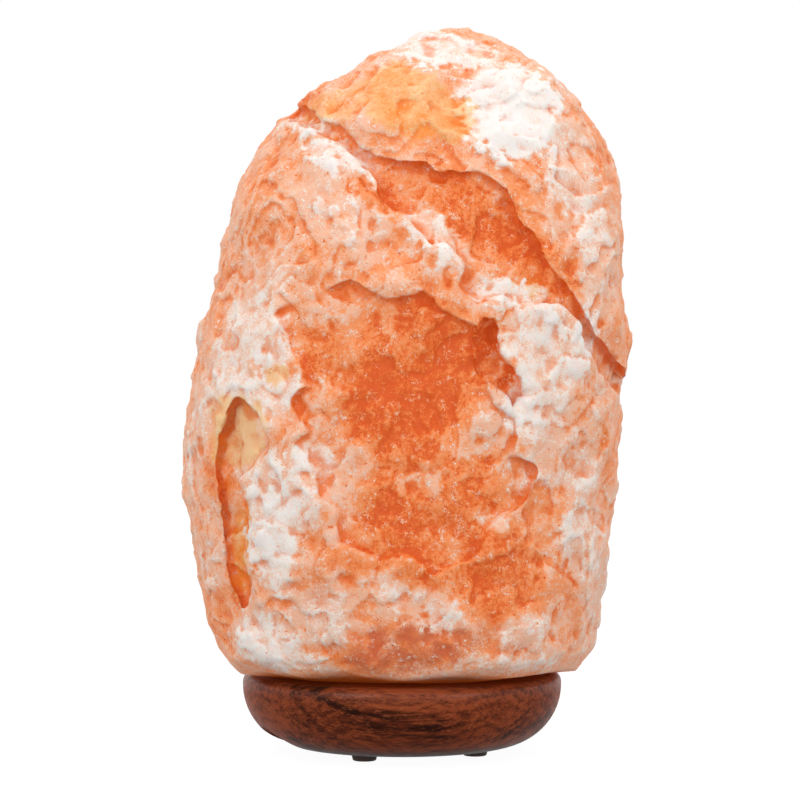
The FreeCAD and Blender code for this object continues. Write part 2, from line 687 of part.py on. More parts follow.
def clip_rivet(direction):
    """A rivet through the plate and a clip's foot."""
    low = PLATE_BOTTOM
    high = PLATE_TOP + CLIP_FOOT_THICKNESS
    rivet = revolved(
        (0, low - RIVET_HEAD_HEIGHT),
        (RIVET_HEAD_RADIUS, low - RIVET_HEAD_HEIGHT),
        (RIVET_HEAD_RADIUS, low),
        (RIVET_SHANK_RADIUS, low),
        (RIVET_SHANK_RADIUS, high),
        (RIVET_HEAD_RADIUS, high),
        (RIVET_HEAD_RADIUS - RIVET_HEAD_TAPER, high + RIVET_HEAD_HEIGHT),
        (0, high + RIVET_HEAD_HEIGHT),
    )
    rivet.translate(Vector(RIVET_CIRCLE_RADIUS, 0, 0))
    return turned(rivet, direction)


def spring_clip(direction):
    """A leaf of spring steel: it bends up from its foot, bellies out to the base's bore and leans in again."""
    half = CLIP_WIDTH / 2
    inner = CLIP_BEND_INSIDE + (CLIP_FOOT_THICKNESS - CLIP_THICKNESS) / 2
    outer = inner + CLIP_THICKNESS
    centre = (CLIP_BEND_RADIUS, CLIP_BEND_HEIGHT)
    belly = math.sqrt((BASE_BORE_RADIUS - CLIP_BORE_GAP) ** 2 - half**2)
    heights = (CLIP_BELLY_HEIGHT, CLIP_NECK_HEIGHT, CLIP_TIP_HEIGHT)
    reaches = (belly, CLIP_NECK_RADIUS, CLIP_TIP_RADIUS)
    outside = [arc_point(centre, outer, 0)]
    outside += [(reach, PLATE_TOP + height) for reach, height in zip(reaches, heights)]
    inside = [arc_point(centre, inner, 0)]
    inside += [(reach - CLIP_THICKNESS, PLATE_TOP + height) for reach, height in zip(reaches, heights)]
    edges = [
        Part.Arc(
            *[Vector(x, 0, z) for x, z in (arc_point(centre, outer, a) for a in (-90, -45, 0))]
        ).toShape()
    ]
    for points in (outside, inside):
        curve = Part.BSplineCurve()
        curve.interpolate(
            Points=[Vector(x, 0, z) for x, z in points],
            InitialTangent=Vector(0, 0, 1),
            FinalTangent=Vector(0.45, 0, 1),
        )
        edges.append(curve.toShape())
    edges.append(
        Part.Arc(
            *[Vector(x, 0, z) for x, z in (arc_point(centre, inner, a) for a in (0, -45, -90))]
        ).toShape()
    )
    for start, end in ((outside[-1], inside[-1]), (arc_point(centre, inner, -90), arc_point(centre, outer, -90))):
        edges.append(Part.LineSegment(Vector(start[0], 0, start[1]), Vector(end[0], 0, end[1])).toShape())
    face = Part.Face(Part.Wire(Part.__sortEdges__(edges)))
    leaf = face.extrude(Vector(0, CLIP_WIDTH, 0))
    leaf.translate(Vector(0, -half, 0))
    return turned(leaf, direction)


def lampholder_body():
    """The insulating body: a shell seat above its floor, room for the wires below, and fluted sides."""
    seat_radius = SHELL_OUTER_RADIUS + SEAT_GAP
    rim = (HOLDER_RADIUS - HOLDER_RIM_ROUND, HOLDER_TOP - HOLDER_RIM_ROUND)
    body = revolved(
        (0, FLOOR_BOTTOM),
        (WIRING_ROOM_RADIUS, FLOOR_BOTTOM),
        (WIRING_ROOM_RADIUS, SPIGOT_BOTTOM),
        (SPIGOT_RADIUS, SPIGOT_BOTTOM),
        (SPIGOT_RADIUS, PLATE_TOP),
        (HOLDER_RADIUS, PLATE_TOP),
        (HOLDER_RADIUS, rim[1]),
        (arc_point(rim, HOLDER_RIM_ROUND, 45), (rim[0], HOLDER_TOP)),
        (seat_radius, HOLDER_TOP),
        (seat_radius, FLOOR_TOP),
        (0, FLOOR_TOP),
    )
    flute_top = PLATE_TOP + HOLDER_FLUTE_HEIGHT
    for i in range(HOLDER_FLUTE_COUNT):
        at = on_circle(HOLDER_RADIUS + HOLDER_FLUTE_RADIUS / 3, 360 * i / HOLDER_FLUTE_COUNT, 0)
        body = body.cut(upright(HOLDER_FLUTE_RADIUS, PLATE_TOP + HOLDER_FLUTE_START, flute_top, at))
    width = CONTACT_WIDTH / 2 + SEAT_GAP
    thick = CONTACT_THICKNESS + 2 * SEAT_GAP
    low = FLOOR_BOTTOM - OVERCUT
    high = FLOOR_TOP + OVERCUT
    for left in (CONTACT_REACH - SEAT_GAP, SHELL_FLOOR_HOLE_RADIUS + SHELL_STRIP_OFFSET):
        body = body.cut(block(left, left + thick, -width, width, low, high))
    for side in (-1, 1):
        at = Vector(side * TERMINAL_OFFSET, 0, 0)
        hole_top = FLOOR_BOTTOM + TERMINAL_SCREW_REACH + SEAT_GAP
        body = body.cut(upright(TERMINAL_SCREW_RADIUS + HOLE_GAP, FLOOR_BOTTOM - OVERCUT, hole_top, at))
    return body


def lampholder_cap():
    """The cap that screws on below the plate, with a notched rim and a hole for the cord bush."""
    cap = revolved(
        (GROMMET_BORE_RADIUS + GROMMET_WALL + HOLE_GAP, CAP_BOTTOM),
        (HOLDER_CAP_RADIUS - HOLDER_CAP_EDGE, CAP_BOTTOM),
        (HOLDER_CAP_RADIUS, CAP_BOTTOM + HOLDER_CAP_EDGE),
        (HOLDER_CAP_RADIUS, CAP_TOP),
        (SPIGOT_RADIUS + SEAT_GAP, CAP_TOP),
        (SPIGOT_RADIUS + SEAT_GAP, CAP_BOTTOM + HOLDER_CAP_WALL),
        (GROMMET_BORE_RADIUS + GROMMET_WALL + HOLE_GAP, CAP_BOTTOM + HOLDER_CAP_WALL),
    )
    for i in range(HOLDER_CAP_NOTCH_COUNT):
        at = on_circle(HOLDER_CAP_RADIUS + HOLDER_CAP_NOTCH_RADIUS / 2, 360 * i / HOLDER_CAP_NOTCH_COUNT, 0)
        cap = cap.cut(upright(HOLDER_CAP_NOTCH_RADIUS, CAP_BOTTOM - OVERCUT, CAP_TOP + OVERCUT, at))
    return cap


def cord_grommet():
    """The rubber bush in the cap, where the cord goes in."""
    neck = GROMMET_BORE_RADIUS + GROMMET_WALL
    flange = neck + GROMMET_FLANGE
    wall_top = CAP_BOTTOM + HOLDER_CAP_WALL
    return revolved(
        (GROMMET_BORE_RADIUS, CAP_BOTTOM - GROMMET_FLANGE_HEIGHT),
        (flange, CAP_BOTTOM - GROMMET_FLANGE_HEIGHT),
        (flange, CAP_BOTTOM),
        (neck, CAP_BOTTOM),
        (neck, wall_top),
        (flange, wall_top),
        (flange, wall_top + GROMMET_FLANGE_HEIGHT),
        (GROMMET_BORE_RADIUS, wall_top + GROMMET_FLANGE_HEIGHT),
    )


def screw_shell():
    """The thin brass cup that takes the lamp's cap."""
    return revolved(
        (SHELL_FLOOR_HOLE_RADIUS, FLOOR_TOP),
        (SHELL_OUTER_RADIUS, FLOOR_TOP),
        (SHELL_OUTER_RADIUS, FLOOR_TOP + SHELL_HEIGHT),
        (SHELL_INNER_RADIUS, FLOOR_TOP + SHELL_HEIGHT),
        (SHELL_INNER_RADIUS, FLOOR_TOP + SHELL_WALL),
        (SHELL_FLOOR_HOLE_RADIUS, FLOOR_TOP + SHELL_WALL),
    )


def terminal_hole(strip, side):
    """The strip with the hole for its terminal screw."""
    at = Vector(side * TERMINAL_OFFSET, 0, 0)
    low = FLOOR_BOTTOM - CONTACT_THICKNESS - OVERCUT
    return strip.cut(upright(TERMINAL_SCREW_RADIUS + HOLE_GAP, low, FLOOR_BOTTOM + OVERCUT, at))


def centre_contact():
    """The springy strip that touches the lamp's tip, from its terminal under the floor."""
    half = CONTACT_WIDTH / 2
    low = FLOOR_BOTTOM - CONTACT_THICKNESS
    right = CONTACT_REACH + CONTACT_THICKNESS
    strip = block(-TERMINAL_TAB_END, right, -half, half, low, FLOOR_BOTTOM)
    strip = strip.fuse(block(CONTACT_REACH, right, -half, half, low, CONTACT_TOP))
    strip = strip.fuse(block(-CONTACT_REACH, right, -half, half, CONTACT_TOP - CONTACT_THICKNESS, CONTACT_TOP))
    return terminal_hole(strip.removeSplitter(), -1)


def shell_terminal():
    """The strip that joins the shell's floor to its terminal."""
    half = CONTACT_WIDTH / 2
    low = FLOOR_BOTTOM - CONTACT_THICKNESS
    left = SHELL_FLOOR_HOLE_RADIUS + SHELL_STRIP_OFFSET + SEAT_GAP
    strip = block(left, TERMINAL_TAB_END, -half, half, low, FLOOR_BOTTOM)
    strip = strip.fuse(block(left, left + CONTACT_THICKNESS, -half, half, low, FLOOR_TOP))
    return terminal_hole(strip.removeSplitter(), 1)


def terminal_screw(side):
    """A cheese-head screw that clamps a wire under its strip."""
    seat = FLOOR_BOTTOM - CONTACT_THICKNESS
    head_bottom = seat - TERMINAL_SCREW_HEAD_HEIGHT
    screw = revolved(
        (0, head_bottom),
        (TERMINAL_SCREW_HEAD_RADIUS, head_bottom),
        (TERMINAL_SCREW_HEAD_RADIUS, seat),
        (TERMINAL_SCREW_RADIUS, seat),
        (TERMINAL_SCREW_RADIUS, FLOOR_BOTTOM + TERMINAL_SCREW_REACH),
        (0, FLOOR_BOTTOM + TERMINAL_SCREW_REACH),
    )
    across = TERMINAL_SCREW_HEAD_RADIUS + OVERCUT
    half = TERMINAL_SLOT_WIDTH / 2
    slot = block(-across, across, -half, half, head_bottom - OVERCUT, head_bottom + TERMINAL_SLOT_DEPTH)
    screw = screw.cut(slot)
    screw.translate(Vector(side * TERMINAL_OFFSET, 0, 0))
    return screw


# ---------------------------------------------------------------- candle lamp
def bulge(start, end):
    """The middle and end of an arc from start to end whose tangent is upright at the wider of the two."""
    wide, narrow = (end, start) if end[0] > start[0] else (start, end)
    across = wide[0] - narrow[0]
    up = narrow[1] - wide[1]
    radius = (across**2 + up**2) / (2 * across)
    centre = (wide[0] - radius, wide[1])
    half_turn = math.degrees(math.atan2(up, narrow[0] - centre[0])) / 2
    return (arc_point(centre, radius, half_turn), end)


def glass_form(inset):
    """The envelope as a solid of revolution, drawn in by inset: neck, belly, taper and round tip."""
    neck = (BULB_NECK_RADIUS - inset, BULB_CAP_TOP + BULB_NECK_RISE)
    widest = (BULB_GLASS_RADIUS - inset, BULB_CAP_TOP + (BULB_TOP - BULB_CAP_TOP) * BULB_WIDEST_SHARE)
    tip_centre = (0, BULB_TOP - BULB_TIP_RADIUS)
    tip = arc_point(tip_centre, BULB_TIP_RADIUS - inset, BULB_TIP_TURN)
    tip_top = arc_point(tip_centre, BULB_TIP_RADIUS - inset, 90)
    tip_middle = arc_point(tip_centre, BULB_TIP_RADIUS - inset, (BULB_TIP_TURN + 90) / 2)
    return revolved(
        (0, GLASS_BOTTOM),
        (neck[0], GLASS_BOTTOM),
        neck,
        bulge(neck, widest),
        bulge(widest, tip),
        (tip_middle, tip_top),
    )


def bulb_glass():
    """The thin glass envelope, open at its neck."""
    return glass_form(0.0).cut(glass_form(BULB_GLASS_WALL))


def bulb_screw_cap():
    """The thin metal cap, with its threads drawn plain."""
    shoulder = BULB_CAP_BOTTOM + BULB_CAP_SHOULDER
    lower = BULB_CAP_RADIUS - BULB_CAP_STEP
    return revolved(
        (lower - BULB_CAP_WALL, BULB_CAP_BOTTOM),
        (lower, BULB_CAP_BOTTOM),
        (BULB_CAP_RADIUS, shoulder),
        (BULB_CAP_RADIUS, BULB_CAP_TOP),
        (BULB_CAP_RADIUS - BULB_CAP_WALL, BULB_CAP_TOP),
        (BULB_CAP_RADIUS - BULB_CAP_WALL, shoulder),
    )


def bulb_cap_insulator():
    """The black glass cone between the cap and the tip contact."""
    lower = BULB_CAP_RADIUS - BULB_CAP_STEP - BULB_CAP_WALL
    bottom = BULB_BOTTOM + BULB_CONTACT_HEIGHT
    return revolved(
        (0, bottom),
        (BULB_CONTACT_RADIUS + BULB_INSULATOR_RIM, bottom),
        (lower, BULB_CAP_BOTTOM),
        (lower, BULB_CAP_BOTTOM + BULB_INSULATOR_PLUG),
        (0, BULB_CAP_BOTTOM + BULB_INSULATOR_PLUG),
    )


def bulb_tip_contact():
    """The solder button at the lamp's tip."""
    top = BULB_BOTTOM + BULB_CONTACT_HEIGHT
    return revolved(
        (0, BULB_BOTTOM),
        ((BULB_CONTACT_RADIUS * 0.75, BULB_BOTTOM + BULB_CONTACT_ROUND), (BULB_CONTACT_RADIUS, top)),
        (0, top),
    )


def bulb_stem():
    """The glass flare that closes the neck and carries the wires."""
    foot = BULB_NECK_RADIUS - BULB_GLASS_WALL - HOLE_GAP
    knee = STEM_BOTTOM + STEM_FLARE_HEIGHT
    pinch = STEM_TOP - STEM_PINCH_LENGTH
    return revolved(
        (foot - STEM_WALL, STEM_BOTTOM),
        (foot, STEM_BOTTOM),
        (arc_point((foot, knee), foot - STEM_RADIUS, 225), (STEM_RADIUS, knee)),
        (STEM_RADIUS, STEM_TOP),
        (0, STEM_TOP),
        (0, pinch),
        (STEM_RADIUS - STEM_WALL, pinch),
        (STEM_RADIUS - STEM_WALL, knee),
        (arc_point((foot, knee), foot - STEM_RADIUS + STEM_WALL, 225), (foot - STEM_WALL, STEM_BOTTOM)),
    )


def lead_wire(side):
    """A wire from the stem to one end of the filament."""
    start = Vector(side * STEM_RADIUS / 2, 0, STEM_TOP)
    end = Vector(side * LEAD_SPREAD, 0, STEM_TOP + LEAD_HEIGHT)
    wire = rod(LEAD_RADIUS, start.sub(UP * LEAD_IN_STEM), end)
    side_room = LEAD_SPREAD + LEAD_IN_STEM
    below = block(-side_room, side_room, -LEAD_SPREAD, LEAD_SPREAD, STEM_TOP - 2 * LEAD_IN_STEM, STEM_TOP)
    return wire.cut(below)


def bulb_filament():
    """The filament between the wires' ends, in one shallow arc."""
    height = STEM_TOP + LEAD_HEIGHT + FILAMENT_RADIUS
    left = Vector(-LEAD_SPREAD, 0, height)
    right = Vector(LEAD_SPREAD, 0, height)
    arc = Part.Arc(left, Vector(0, 0, height + FILAMENT_SAG), right)
    path = Part.Wire(arc.toShape())
    start = Part.Wire(Part.Circle(left, arc.tangent(arc.FirstParameter)[0], FILAMENT_RADIUS).toShape())
    return path.makePipeShell([start], True, False)


# ---------------------------------------------------------------- all pieces
def main():
    os.makedirs("parts", exist_ok=True)
    feet_at = [on_circle(FOOT_CIRCLE_RADIUS, direction, 0) for direction in FOOT_DIRECTIONS]
    screws_at = [on_circle(SCREW_CIRCLE_RADIUS, direction, 0) for direction in SCREW_DIRECTIONS]

    save("salt_crystal", salt_crystal())
    save("wood_base", wood_base())
    save("rubber_feet", *[rubber_foot(at) for at in feet_at])
    save("foot_pins", *[foot_pin(at) for at in feet_at])
    save("base_screws", *[base_screw(at) for at in screws_at])
    save("screw_plugs", *[screw_plug(at) for at in screws_at])

    save("clip_plate", clip_plate())
    save("clip_feet", *[clip_foot(direction) for direction in CLIP_DIRECTIONS])
    save("clip_rivets", *[clip_rivet(direction) for direction in CLIP_DIRECTIONS])
    for number, direction in enumerate(CLIP_DIRECTIONS, start=1):
        save("spring_clip_" + str(number), spring_clip(direction))
    save("lampholder_body", lampholder_body())
    save("lampholder_cap", lampholder_cap())
    save("cord_grommet", cord_grommet())
    save("screw_shell", screw_shell())
    save("centre_contact", centre_contact())
    save("shell_terminal", shell_terminal())
    save("terminal_screws", terminal_screw(-1), terminal_screw(1))

    save("bulb_glass", bulb_glass())
    save("bulb_screw_cap", bulb_screw_cap())
    save("bulb_cap_insulator", bulb_cap_insulator())
    save("bulb_tip_contact", bulb_tip_contact())
    save("bulb_stem", bulb_stem())
    save("bulb_lead_wires", lead_wire(-1), lead_wire(1))
    save("bulb_filament", bulb_filament())


main()
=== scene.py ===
"""Salt crystal lamp: a lump of pink rock salt on a turned wooden base, its light from inside painted on as a
glow.

Lengths are in metres, but the values of the salt crystal's mesh and the lists of patches and streaks
are in millimetres. +Z is up, and the side that is usually seen is -Y.
"""
import math

import bpy
import numpy as np
from bpy.props import FloatProperty, FloatVectorProperty, IntProperty, PointerProperty
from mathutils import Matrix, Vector, noise


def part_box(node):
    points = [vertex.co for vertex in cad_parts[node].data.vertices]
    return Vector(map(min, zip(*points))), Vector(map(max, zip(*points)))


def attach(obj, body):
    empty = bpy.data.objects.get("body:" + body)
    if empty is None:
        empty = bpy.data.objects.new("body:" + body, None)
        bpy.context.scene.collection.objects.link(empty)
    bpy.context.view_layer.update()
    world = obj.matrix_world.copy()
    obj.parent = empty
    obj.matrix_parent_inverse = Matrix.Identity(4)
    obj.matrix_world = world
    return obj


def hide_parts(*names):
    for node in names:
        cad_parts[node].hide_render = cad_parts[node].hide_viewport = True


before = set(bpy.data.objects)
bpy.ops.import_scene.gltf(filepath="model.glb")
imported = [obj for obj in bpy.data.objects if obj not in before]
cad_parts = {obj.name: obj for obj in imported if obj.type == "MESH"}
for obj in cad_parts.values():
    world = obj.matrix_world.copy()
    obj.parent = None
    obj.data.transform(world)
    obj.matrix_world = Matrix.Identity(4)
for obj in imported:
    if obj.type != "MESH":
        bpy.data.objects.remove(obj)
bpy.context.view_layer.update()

bl_info = {
    "name": "Salt crystal lamp",
    "version": (1, 0, 0),
    "blender": (4, 5, 0),
    "location": "View3D > Sidebar > Salt Lamp",
    "description": "Dresses the salt crystal lamp and lights it",
    "category": "Object",
}

MM = 0.001
WOOD_LOW, WOOD_HIGH = (Vector(corner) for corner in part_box("wood_base"))
BASE_TOP = WOOD_HIGH.z
WHITE = (1.0, 1.0, 1.0)


# ---------------------------------------------------------------- colours
def linear(red, green, blue):
    """A colour given as it shows on screen, 0 to 255, as the renderer wants it."""
    shares = (red / 255, green / 255, blue / 255)
    return tuple(s / 12.92 if s <= 0.04045 else ((s + 0.055) / 1.055) ** 2.4 for s in shares)


def opaque(colour):
    return (*colour, 1.0)


def colour_setting(name, description, colour):
    return FloatVectorProperty(
        name=name, description=description, default=colour, size=3, min=0.0, max=1.0, subtype="COLOR"
    )


def point_setting(name, description, place):
    return FloatVectorProperty(
        name=name, description=description, default=place, size=3, subtype="TRANSLATION", unit="LENGTH"
    )


def length_setting(name, description, metres):
    return FloatProperty(name=name, description=description, default=metres, unit="LENGTH", precision=5)


# ---------------------------------------------------------------- settings
class CrystalSettings(bpy.types.PropertyGroup):
    """Sizes and colours of the rock salt."""

    mesh_step: length_setting("Mesh step", "Spacing of the points on the salt's skin", 0.8 * MM)
    triangles: IntProperty(name="Triangles", description="Most triangles left on it", default=196000, min=4)
    wander: length_setting("Wander", "How far the broken edges stray from straight lines", 1.7 * MM)
    swell: length_setting("Swell", "Height of the long, soft undulations", 0.9 * MM)
    layer_step: length_setting("Layer step", "Height of the ledges where skin has come away", 0.75 * MM)
    chip_step: length_setting("Chip step", "Height of the small chipped steps", 0.13 * MM)
    grain_height: length_setting("Grain height", "Height of the sugary grains", 0.16 * MM)
    # Ember is also the colour of the painted glow in the hollows.
    ember: colour_setting("Ember", "The clearest, deepest salt", linear(217, 82, 12))
    orange: colour_setting("Orange", "Clear salt that the lamp shines through", linear(231, 111, 36))
    salmon: colour_setting("Salmon", "Half clear salt", linear(243, 151, 94))
    pink: colour_setting("Pink", "Milky salt", linear(247, 191, 160))
    frost: colour_setting("Frost", "Powdery salt on raised slabs", linear(252, 230, 217))
    snow: colour_setting("Snow", "The whitest, rubbed salt at the upper right", linear(251, 244, 239))
    amber: colour_setting("Amber", "Clear yellow salt near the top and in the grooves", linear(240, 138, 40))
    pale_amber: colour_setting("Pale amber", "Milky yellow salt", linear(252, 208, 156))
    brown: colour_setting("Red brown", "Iron-rich salt low on the front", linear(198, 98, 62))


class BaseSettings(bpy.types.PropertyGroup):
    """Colours and grain of the wooden base."""

    ring_spacing: length_setting("Ring spacing", "Distance between growth rings", 3.4 * MM)
    light_wood: colour_setting("Light wood", "Early wood between the dark rings", linear(146, 70, 40))
    dark_wood: colour_setting("Dark wood", "Late wood in the rings", linear(82, 34, 19))
    vein: colour_setting("Vein", "The few dark veins through the wood", linear(34, 12, 7))
    # Painted shade: this colour darkens the wood round its lower edge, standing in for the shadow under the
    # base.
    underside_shade: colour_setting("Underside shade", "The dark stain round the lower edge", linear(14, 6, 4))
    fleck: colour_setting("Fleck", "Small bright flecks of the grain", linear(160, 88, 54))


class StageSettings(bpy.types.PropertyGroup):
    """Camera, lights and floor."""

    eye: point_setting("Eye", "Where the camera stands", (-0.0007, -1.1, 0.150))
    aim: point_setting("Aim", "What the camera looks at", (-0.0007, 0.0, 0.1213))
    lens: FloatProperty(name="Lens", description="The camera's focal length", default=143.46, unit="CAMERA")
    key_power: FloatProperty(name="Key", description="Power of the front light", default=4.9, unit="POWER")
    sky: FloatProperty(name="Sky", description="Level of the even light from all round", default=0.86)
    floor: colour_setting("Floor", "Colour of the floor", (0.45, 0.45, 0.45))


def settings(name):
    return getattr(bpy.context.scene, name)


# ---------------------------------------------------------------- node helpers
def plug(tree, node, key, value):
    """Sets one input of a node, or links it where the value is a socket."""
    socket = node.inputs[key]
    if isinstance(value, bpy.types.NodeSocket):
        tree.links.new(value, socket)
    else:
        socket.default_value = value


def plug_all(tree, node, inputs):
    for key, value in inputs.items():
        plug(tree, node, key, value)


def add(tree, kind, inputs=None, **choices):
    """A new node with its choices made and its inputs set or linked."""
    node = tree.nodes.new(kind)
    for key, value in choices.items():
        setattr(node, key, value)
    plug_all(tree, node, inputs or {})
    return node


def mix(tree, share, low, high):
    """A colour between two others."""
    factor, colour_a, colour_b, colour_out = 0, 6, 7, 2
    inputs = {factor: share, colour_a: low, colour_b: high}
    return add(tree, "ShaderNodeMix", inputs, data_type="RGBA").outputs[colour_out]


def maths(tree, operation, *values, clamp=False):
    inputs = dict(enumerate(values))
    return add(tree, "ShaderNodeMath", inputs, operation=operation, use_clamp=clamp).outputs[0]


def vector_maths(tree, operation, inputs):
    return add(tree, "ShaderNodeVectorMath", inputs, operation=operation).outputs[0]


def times(tree, value, factor):
    return maths(tree, "MULTIPLY", value, factor)


def total(tree, *values):
    """All the values added up."""
    result = values[0]
    for value in values[1:]:
        result = maths(tree, "ADD", result, value)
    return result


def swing(tree, value, weight):
    """A pattern's departure from its middle, with a weight."""
    return times(tree, maths(tree, "SUBTRACT", value, 0.5), weight)


def weighted(tree, *pairs):
    """The sum of values, each with its weight."""
    return total(tree, *(times(tree, value, weight) for value, weight in pairs))


def ramp(tree, value, low, high, out_low=0.0, out_high=1.0):
    """A value taken smoothly from one range to another, held at both ends."""
    inputs = {"Value": value, "From Min": low, "From Max": high, "To Min": out_low, "To Max": out_high}
    return add(tree, "ShaderNodeMapRange", inputs, interpolation_type="SMOOTHSTEP").outputs["Result"]


def noise_at(tree, place, scale, detail=3.0, roughness=0.55, distortion=0.0):
    """A soft random pattern from 0 to 1, with its scale in waves per metre."""
    inputs = {"Vector": place, "Scale": scale, "Detail": detail, "Roughness": roughness}
    return add(tree, "ShaderNodeTexNoise", {**inputs, "Distortion": distortion}).outputs["Fac"]


def object_place(tree, size=(1.0, 1.0, 1.0), turn=(0.0, 0.0, 0.0), shift=(0.0, 0.0, 0.0)):
    """The point on the piece in metres, stretched and turned for a pattern."""
    place = add(tree, "ShaderNodeTexCoord").outputs["Object"]
    changes = {"Vector": place, "Location": shift, "Rotation": turn, "Scale": size}
    return add(tree, "ShaderNodeMapping", changes).outputs["Vector"]


def group_of(name, inputs, outputs):
    """An empty node group with named sockets, as (tree, what it is given, its output node)."""
    tree = bpy.data.node_groups.new(name, "ShaderNodeTree")
    for label, kind, default in inputs:
        socket = tree.interface.new_socket(label, in_out="INPUT", socket_type=kind)
        socket.default_value = default
    for label, kind in outputs:
        tree.interface.new_socket(label, in_out="OUTPUT", socket_type=kind)
    entry = tree.nodes.new("NodeGroupInput")
    leave = tree.nodes.new("NodeGroupOutput")
    return tree, entry.outputs, leave


def fine_grain_group():
    """Soft mottling and fine pits, for any finish: a value about 0 and a height."""
    if "Fine grain" in bpy.data.node_groups:
        return bpy.data.node_groups["Fine grain"]
    tree, given, leave = group_of(
        "Fine grain",
        [("Scale", "NodeSocketFloat", 900.0), ("Amount", "NodeSocketFloat", 1.0)],
        [("Mottle", "NodeSocketFloat"), ("Height", "NodeSocketFloat")],
    )
    place = object_place(tree)
    broad = noise_at(tree, place, times(tree, given["Scale"], 0.12), 4.0)
    fine = noise_at(tree, place, given["Scale"], 5.0, 0.65)
    plug(tree, leave, "Mottle", swing(tree, broad, given["Amount"]))
    plug(tree, leave, "Height", times(tree, fine, given["Amount"]))
    return tree


SCUFF_STRETCH = (1.0, 0.06, 1.0)
SCUFF_TURNS = (0.4, 1.3, 2.2)


def scuff_group():
    """Fine crossing scratches and dull patches, for handled metal and moulding."""
    if "Scuffs" in bpy.data.node_groups:
        return bpy.data.node_groups["Scuffs"]
    tree, given, leave = group_of(
        "Scuffs",
        [("Scale", "NodeSocketFloat", 400.0), ("Amount", "NodeSocketFloat", 1.0)],
        [("Dull", "NodeSocketFloat"), ("Height", "NodeSocketFloat")],
    )
    lines = 0.0
    for turn in SCUFF_TURNS:
        place = object_place(tree, SCUFF_STRETCH, (0.3, turn, turn))
        scratch = ramp(tree, noise_at(tree, place, given["Scale"], 2.0), 0.62, 0.70)
        lines = maths(tree, "MAXIMUM", lines, scratch)
    handled = noise_at(tree, object_place(tree), times(tree, given["Scale"], 0.2))
    dull = weighted(tree, (lines, 0.5), (ramp(tree, handled, 0.4, 0.7), 0.6))
    plug(tree, leave, "Dull", times(tree, dull, given["Amount"]))
    plug(tree, leave, "Height", times(tree, lines, -1.0))
    return tree


def placed(tree, group, **inputs):
    """A group placed in a material, with its own values."""
    return add(tree, "ShaderNodeGroup", inputs, node_tree=group).outputs


def new_material(name):
    """A material with an empty tree but for its shader and output, as (material, tree, shader)."""
    material = bpy.data.materials.new(name)
    material.use_nodes = True
    tree = material.node_tree
    tree.nodes.clear()
    shader = tree.nodes.new("ShaderNodeBsdfPrincipled")
    output = tree.nodes.new("ShaderNodeOutputMaterial")
    tree.links.new(shader.outputs[0], output.inputs["Surface"])
    return material, tree, shader


def bump(tree, height, strength, distance):
    node = add(tree, "ShaderNodeBump", {"Height": height, "Strength": strength, "Distance": distance})
    return node.outputs["Normal"]


def give(piece, material):
    """Puts one material on a piece."""
    piece.data.materials.clear()
    piece.data.materials.append(material)


def finish(material, *names):
    """Puts one material on each of the CAD pieces named."""
    for name in names:
        give(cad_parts[name], material)


def only(piece):
    """Selects one piece and nothing else."""
    bpy.ops.object.select_all(action="DESELECT")
    piece.select_set(True)
    bpy.context.view_layer.objects.active = piece


# ---------------------------------------------------------------- salt crystal
SEAT = BASE_TOP / MM
HOLLOW_RADIUS = 21.0
HOLLOW_TOP = SEAT + 88.0
PLUG_RING_RADIUS = 28.5
PLUG_TURNS = (math.radians(288.0), math.radians(108.0))
PLUG_HOLE_RADIUS = 3.5
PLUG_HOLE_TOP = SEAT + 26.0
BORE_MARGIN = 1.5       # how far round a bore the skin is left alone
MERGE_REACH = 0.01      # points of the CAD mesh that are this near are one point

# How high over the seat the relief begins and is whole, and how far back the front's colours reach
SKIN_STARTS, SKIN_WHOLE = SEAT + 0.2, SEAT + 2.5
RISE_WHOLE = SEAT + 14.0
FRONT_WHOLE, FRONT_ENDS = -4.0, 16.0

# The stray of the broken edges: width of the broad and the fine waves, share of the fine ones, and a
# seed for each direction
WANDER_WIDTH, FINE_WANDER_WIDTH, FINE_WANDER_SHARE = 12.0, 4.2, 0.42
WANDER_SEEDS = (Vector((3.1, 8.4, 15.2)), Vector((41.3, 7.9, 23.1)), Vector((11.7, 52.6, 35.4)))

# The salt's other patterns: width of a wave, roughness, step between octaves, octaves, seed
GRAIN_WIDTH = 2.4
PATTERNS = {
    "swell": (36.0, 0.9, 2.1, 2, Vector((0.0, 0.0, 0.0))),
    "layers": (27.0, 1.0, 2.1, 3, Vector((4.7, 12.1, 2.9))),
    "chips": (9.0, 0.9, 2.0, 2, Vector((21.3, 5.5, 8.2))),
    "clouds": (26.0, 0.7, 2.2, 4, Vector((9.1, 3.3, 5.7))),
    "tint": (24.0, 0.75, 2.2, 3, Vector((31.0, 17.0, 4.0))),
    "ragged": (3.0, 0.6, 2.0, 3, Vector((0.0, 0.0, 0.0))),
}

# Ledges and chips: steps to each unit of their pattern, raggedness, share of a step that is riser
LEDGES = (2.2, 0.09, 0.14)
CHIPS = (2.2, 0.12, 0.3)
PATCH_LIFT = 0.35       # how far frosted patches stand out and clear ones lie back
PATCH_WANDER, PATCH_RAGGED = 3.0, 2.2       # how far the borders of the patches stray
GRAIN_LEVEL, GRAIN_RAGGED = 0.55, 0.4       # share of a grain that lies at skin level, and raggedness

# Rounds of averaging: the skin before it is broken, its normals, and the near and the broad
# surroundings that tell a crest from a hollow, with the share of the broad ones
SKIN_ROUNDS, NORMAL_ROUNDS, NEAR_ROUNDS, BROAD_ROUNDS = 5, 3, 12, 50
BROAD_SHARE = 0.4
CREST_RANGE, CAVITY_RANGE = (0.05, 0.5), (0.08, 0.6)        # how far crests stand out, and hollows lie in
AMBER_RANGE = (0.25, 0.6)       # levels of the tint at which the salt of the back is amber
